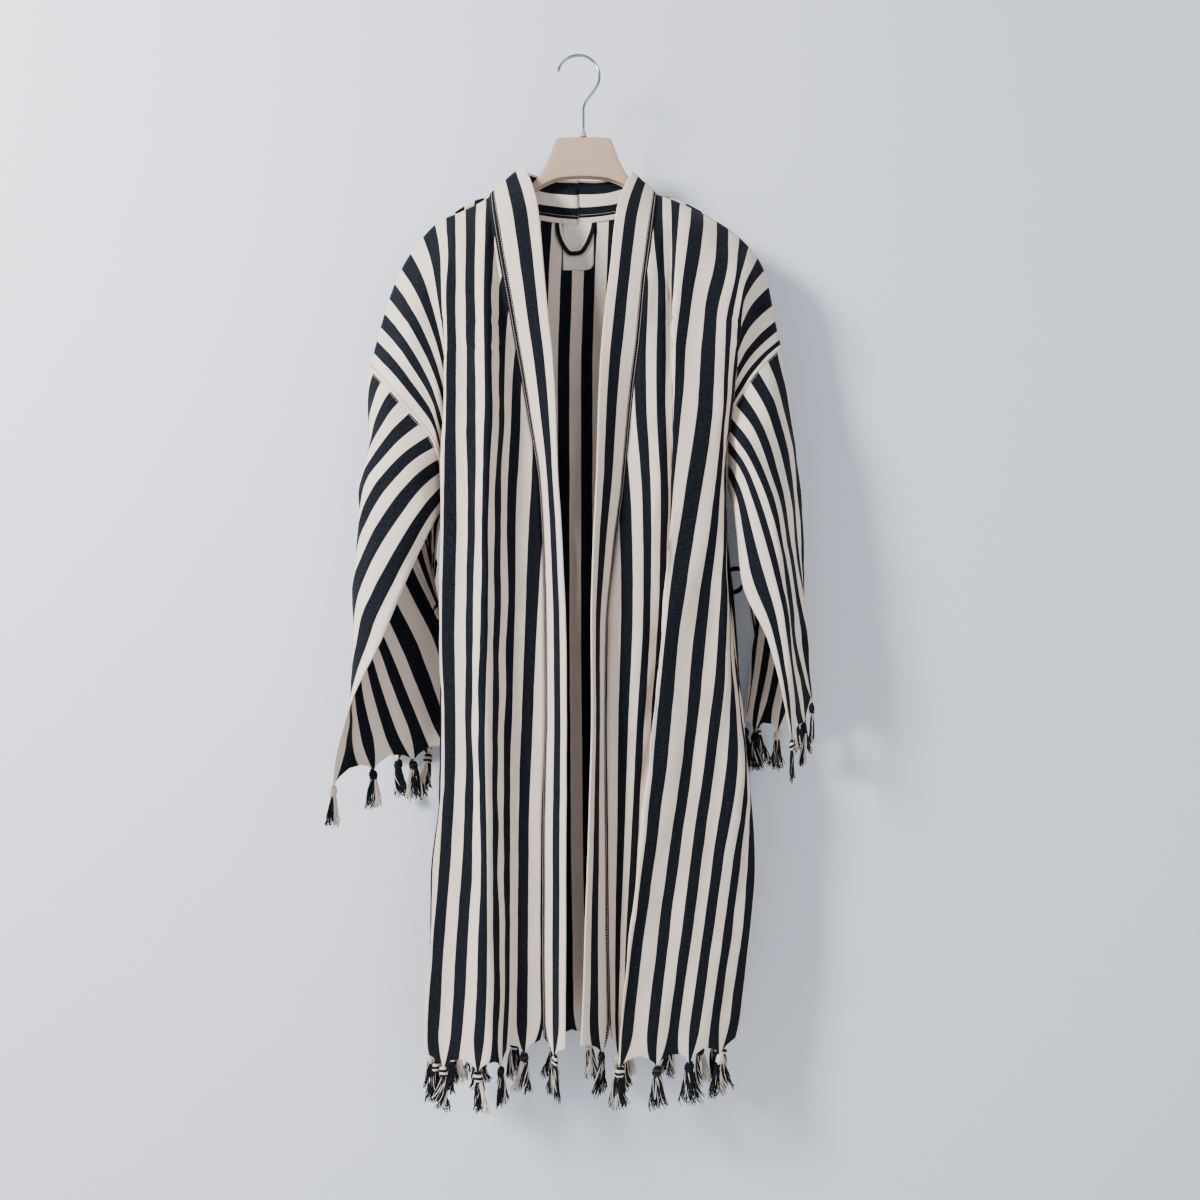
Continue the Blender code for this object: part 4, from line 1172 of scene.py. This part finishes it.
def hanger_ring(across, high, low, half, shrink):
    """Outline of the hanger's body: a rounded top, and a hollow below where it is thick."""
    tall = high - low
    brow = 0.9 if half > 4 else 0.62
    hollow = 5.0 * max(0.0, min(1.0, (half - 2.9) / 1.8))
    outline = [(min(share, brow), drop) for share, drop in
               ((0.0, 0.0), (0.34, 0.25), (0.62, 1.0), (0.82, 2.4), (brow, 4.2))]
    outline += [(1.0, min(9.5, tall * 0.5)), (1.0, tall - 1.8), (0.93, tall - 0.4),
                (0.78, tall), (0.62, tall - 0.2), (0.55, tall - 0.6 - hollow)]
    ring = [(half * share * shrink, high - tall / 2 + (tall / 2 - drop) * shrink)
            for share, drop in outline]
    ring += [(-y, z) for y, z in reversed(ring[1:])]
    return [Vector((across, y, z)) for y, z in ring]


def make_hanger_body():
    """The beige body of the hanger, with rounded edges."""
    stations = hanger_stations()
    places = [station[0] for station in stations]
    shapes = [Curve(places, [station[k] for station in stations]) for k in (1, 2, 3)]
    steps = []
    for first, second in zip(places, places[1:]):
        count = max(1, round((second - first) / 3.5))
        steps += [first + (second - first) * j / count for j in range(count)]
    steps.append(places[-1])
    rings = [hanger_ring(across, *(shape(across) for shape in shapes),
                         min(1.0, 0.45 + 0.3 * min(n, len(steps) - 1 - n)))
             for n, across in enumerate(steps)]
    settle(body("hanger", rings, FINISHES["plastic"]), "hanger_plastic", "hanger_body")


def make_hook():
    """The socket on the hanger, and the bent wire with its ball end."""
    rings = round_rings([Vector((HANGER_CENTRE, 0, z)) for z, radius in SOCKET],
                        [radius for z, radius in SOCKET], 28)
    settle(body("socket", rings, FINISHES["plastic"]), "hanger_plastic", "hook_socket")
    centre = WIRE_RADIUS - BEND_RADIUS
    angles = [math.radians(HOOK_START - HOOK_SWEEP * i / 60) for i in range(61)]
    points = [Vector((BEND_RADIUS * math.cos(angle), 0, centre + BEND_RADIUS * math.sin(angle)))
              for angle in angles]
    points += smooth_line([points[-1], *HOOK_TAIL], 48)[1:]
    run = (points[1] - points[0]).normalized()
    points[0:1] = [points[0] + run * step for step, radius in HOOK_BALL]
    radii = [radius for step, radius in HOOK_BALL]
    radii += [WIRE_RADIUS] * (len(points) - len(radii))
    rings = round_rings(points, radii, 18)
    settle(body("wire_hook", rings, FINISHES["steel"]), "hook_steel", "hook")


def make_hanger(settings):
    make_hanger_body()
    make_hook()


# Stage

WALL_Y, FLOOR_Z = 0.078, -1.6
CAMERA = (0.028, -1.128, -0.707)


def make_stage(settings):
    """A pale wall close behind, a pale floor, the lights and the camera."""
    scene = bpy.context.scene
    wall, tree, shader = new_material("Pale wall", (0.74, 0.785, 0.87), 0.9)
    face = add_node(tree, "ShaderNodeNewGeometry")
    # The wall is clear from behind, so the robe's back can be seen
    feed(tree, shader["Alpha"], maths(tree, "SUBTRACT", 1.0, face["Backfacing"]))
    floor = new_material("Pale floor", (0.62, 0.62, 0.61), 0.85)[0]
    for name, material, corners in (
            ("wall", wall, [(x, WALL_Y, z) for x, z in
                            ((-3, FLOOR_Z), (3, FLOOR_Z), (3, 1.4), (-3, 1.4))]),
            ("floor", floor, [(x, y, FLOOR_Z) for x, y in ((-3, -4), (3, -4), (3, 4), (-3, 4))])):
        bm = bmesh.new()
        bm.faces.new([bm.verts.new(corner) for corner in corners])
        add_piece(name, bm, material)
    for name, place, aim, size, power in (
            ("key light", (-1.9, -1.45, 0.4), (0, 0, -0.75), 0.55, settings.light),
            ("fill light", (1.6, -2.4, -0.3), (0, 0, -0.8), 1.6, settings.light * 0.2),
            ("back light", (-0.7, 2.4, 0.1), (0, 0, -0.75), 1.2, settings.light * 0.3)):
        data = bpy.data.lights.new(name, "AREA")
        data.size, data.energy = size, power
        lamp = bpy.data.objects.new(name, data)
        lamp.location = place
        lamp.rotation_euler = (Vector(aim) - Vector(place)).to_track_quat("-Z", "Y").to_euler()
        scene.collection.objects.link(lamp)
    world = bpy.data.worlds.new("Soft room light")
    world.use_nodes = True
    sky = world.node_tree.nodes["Background"].inputs
    sky["Color"].default_value = (0.86, 0.90, 1.0, 1)
    sky["Strength"].default_value = settings.room
    scene.world = world
    view = bpy.data.cameras.new("camera")
    view.lens, view.sensor_width, view.sensor_fit = 26, 36, "HORIZONTAL"
    camera = bpy.data.objects.new("camera", view)
    camera.location = CAMERA
    camera.rotation_euler = (math.radians(90), 0, 0)
    scene.collection.objects.link(camera)
    scene.camera = camera


# Add-on

def size_setting(name, description, default, low, high):
    """A small length that a user may change."""
    return FloatProperty(name=name, description=description, default=default, min=low, max=high,
                         precision=4, unit="LENGTH", subtype="DISTANCE")


def colour_setting(name, description, default):
    """A colour that a user may change."""
    return FloatVectorProperty(name=name, description=description, default=default, min=0,
                               max=1, size=3, subtype="COLOR")


class RobeSettings(bpy.types.PropertyGroup):
    """Sizes and colours of the robe."""

    cloth: size_setting("Cloth thickness", "Thickness of one layer of cloth",
                        0.0014, 0.0005, 0.003)
    wrinkles: FloatProperty(name="Wrinkles", description="Height of the soft wrinkles",
                            default=1.7, min=0, max=3, subtype="FACTOR")
    seed: IntProperty(name="Seed", description="Start of the wrinkles and the yarns",
                      default=4, min=0)
    cream: colour_setting("Cream", "Colour of the pale stripes", (0.80, 0.67, 0.56))
    dark: colour_setting("Dark", "Colour of the dark stripes", (0.0012, 0.0035, 0.0085))
    plastic: colour_setting("Hanger", "Colour of the hanger's plastic", (0.50, 0.345, 0.235))
    yarns: IntProperty(name="Yarns", description="Loose yarns in each tassel", default=52,
                       min=6, max=64)
    yarn: size_setting("Yarn thickness", "Diameter of one yarn", 0.0015, 0.0004, 0.002)
    tassel: size_setting("Tassel length", "Yarn below the knot", 0.046, 0.02, 0.055)
    stitch: size_setting("Stitch step", "From one stitch to the next", 0.0033, 0.002, 0.006)
    light: FloatProperty(name="Main light", description="Power of the light from the left",
                         default=130.0, min=0, unit="POWER")
    room: FloatProperty(name="Room light", description="Strength of the even light all round",
                        default=0.5, min=0, subtype="FACTOR")


class Maker:
    """Runs one make function; a failure stops the whole script."""

    bl_options = {"REGISTER", "UNDO"}

    def execute(self, context):
        settings = context.scene.robe_settings
        prepare(settings)
        type(self).make(settings)
        return {"FINISHED"}


class ROBE_OT_panels(Maker, bpy.types.Operator):
    """Builds the two fronts, the back and the two sleeves"""

    bl_idname = "robe.panels"
    bl_label = "Cloth panels"
    make = staticmethod(make_panels)


class ROBE_OT_bands(Maker, bpy.types.Operator):
    """Builds the two folded bands of the open front"""

    bl_idname = "robe.bands"
    bl_label = "Folded bands"
    make = staticmethod(make_bands)


class ROBE_OT_tassels(Maker, bpy.types.Operator):
    """Builds the knotted tassels of the hem and the cuffs"""

    bl_idname = "robe.tassels"
    bl_label = "Tassels"
    make = staticmethod(make_tassels)


class ROBE_OT_small_pieces(Maker, bpy.types.Operator):
    """Builds the seam tape, the loops and the label"""

    bl_idname = "robe.small_pieces"
    bl_label = "Tape, loops and label"
    make = staticmethod(make_small_pieces)


class ROBE_OT_stitches(Maker, bpy.types.Operator):
    """Sews the rows of stitches"""

    bl_idname = "robe.stitches"
    bl_label = "Stitches"
    make = staticmethod(make_stitches)


class ROBE_OT_hanger(Maker, bpy.types.Operator):
    """Builds the hanger, its socket and its hook"""

    bl_idname = "robe.hanger"
    bl_label = "Hanger"
    make = staticmethod(make_hanger)


class ROBE_OT_stage(Maker, bpy.types.Operator):
    """Sets up the wall, the floor, the lights and the camera"""

    bl_idname = "robe.stage"
    bl_label = "Stage"
    make = staticmethod(make_stage)


OPERATORS = (ROBE_OT_hanger, ROBE_OT_panels, ROBE_OT_bands, ROBE_OT_small_pieces,
             ROBE_OT_tassels, ROBE_OT_stitches, ROBE_OT_stage)


class ROBE_PT_panel(bpy.types.Panel):
    """Sizes, colours and building steps of the robe"""

    bl_idname = "ROBE_PT_panel"
    bl_label = "Robe"
    bl_space_type = "VIEW_3D"
    bl_region_type = "UI"
    bl_category = "Robe"

    def draw(self, context):
        layout = self.layout
        for name in RobeSettings.__annotations__:
            layout.prop(context.scene.robe_settings, name)
        for operator in OPERATORS:
            layout.operator(operator.bl_idname)


CLASSES = (RobeSettings, *OPERATORS, ROBE_PT_panel)


def register():
    for cls in CLASSES:
        bpy.utils.register_class(cls)
    bpy.types.Scene.robe_settings = PointerProperty(type=RobeSettings)


def unregister():
    del bpy.types.Scene.robe_settings
    for cls in reversed(CLASSES):
        bpy.utils.unregister_class(cls)


def main():
    register()
    for operator in OPERATORS:
        group, name = operator.bl_idname.split(".")
        getattr(getattr(bpy.ops, group), name)()


if __name__ == "__main__":
    main()
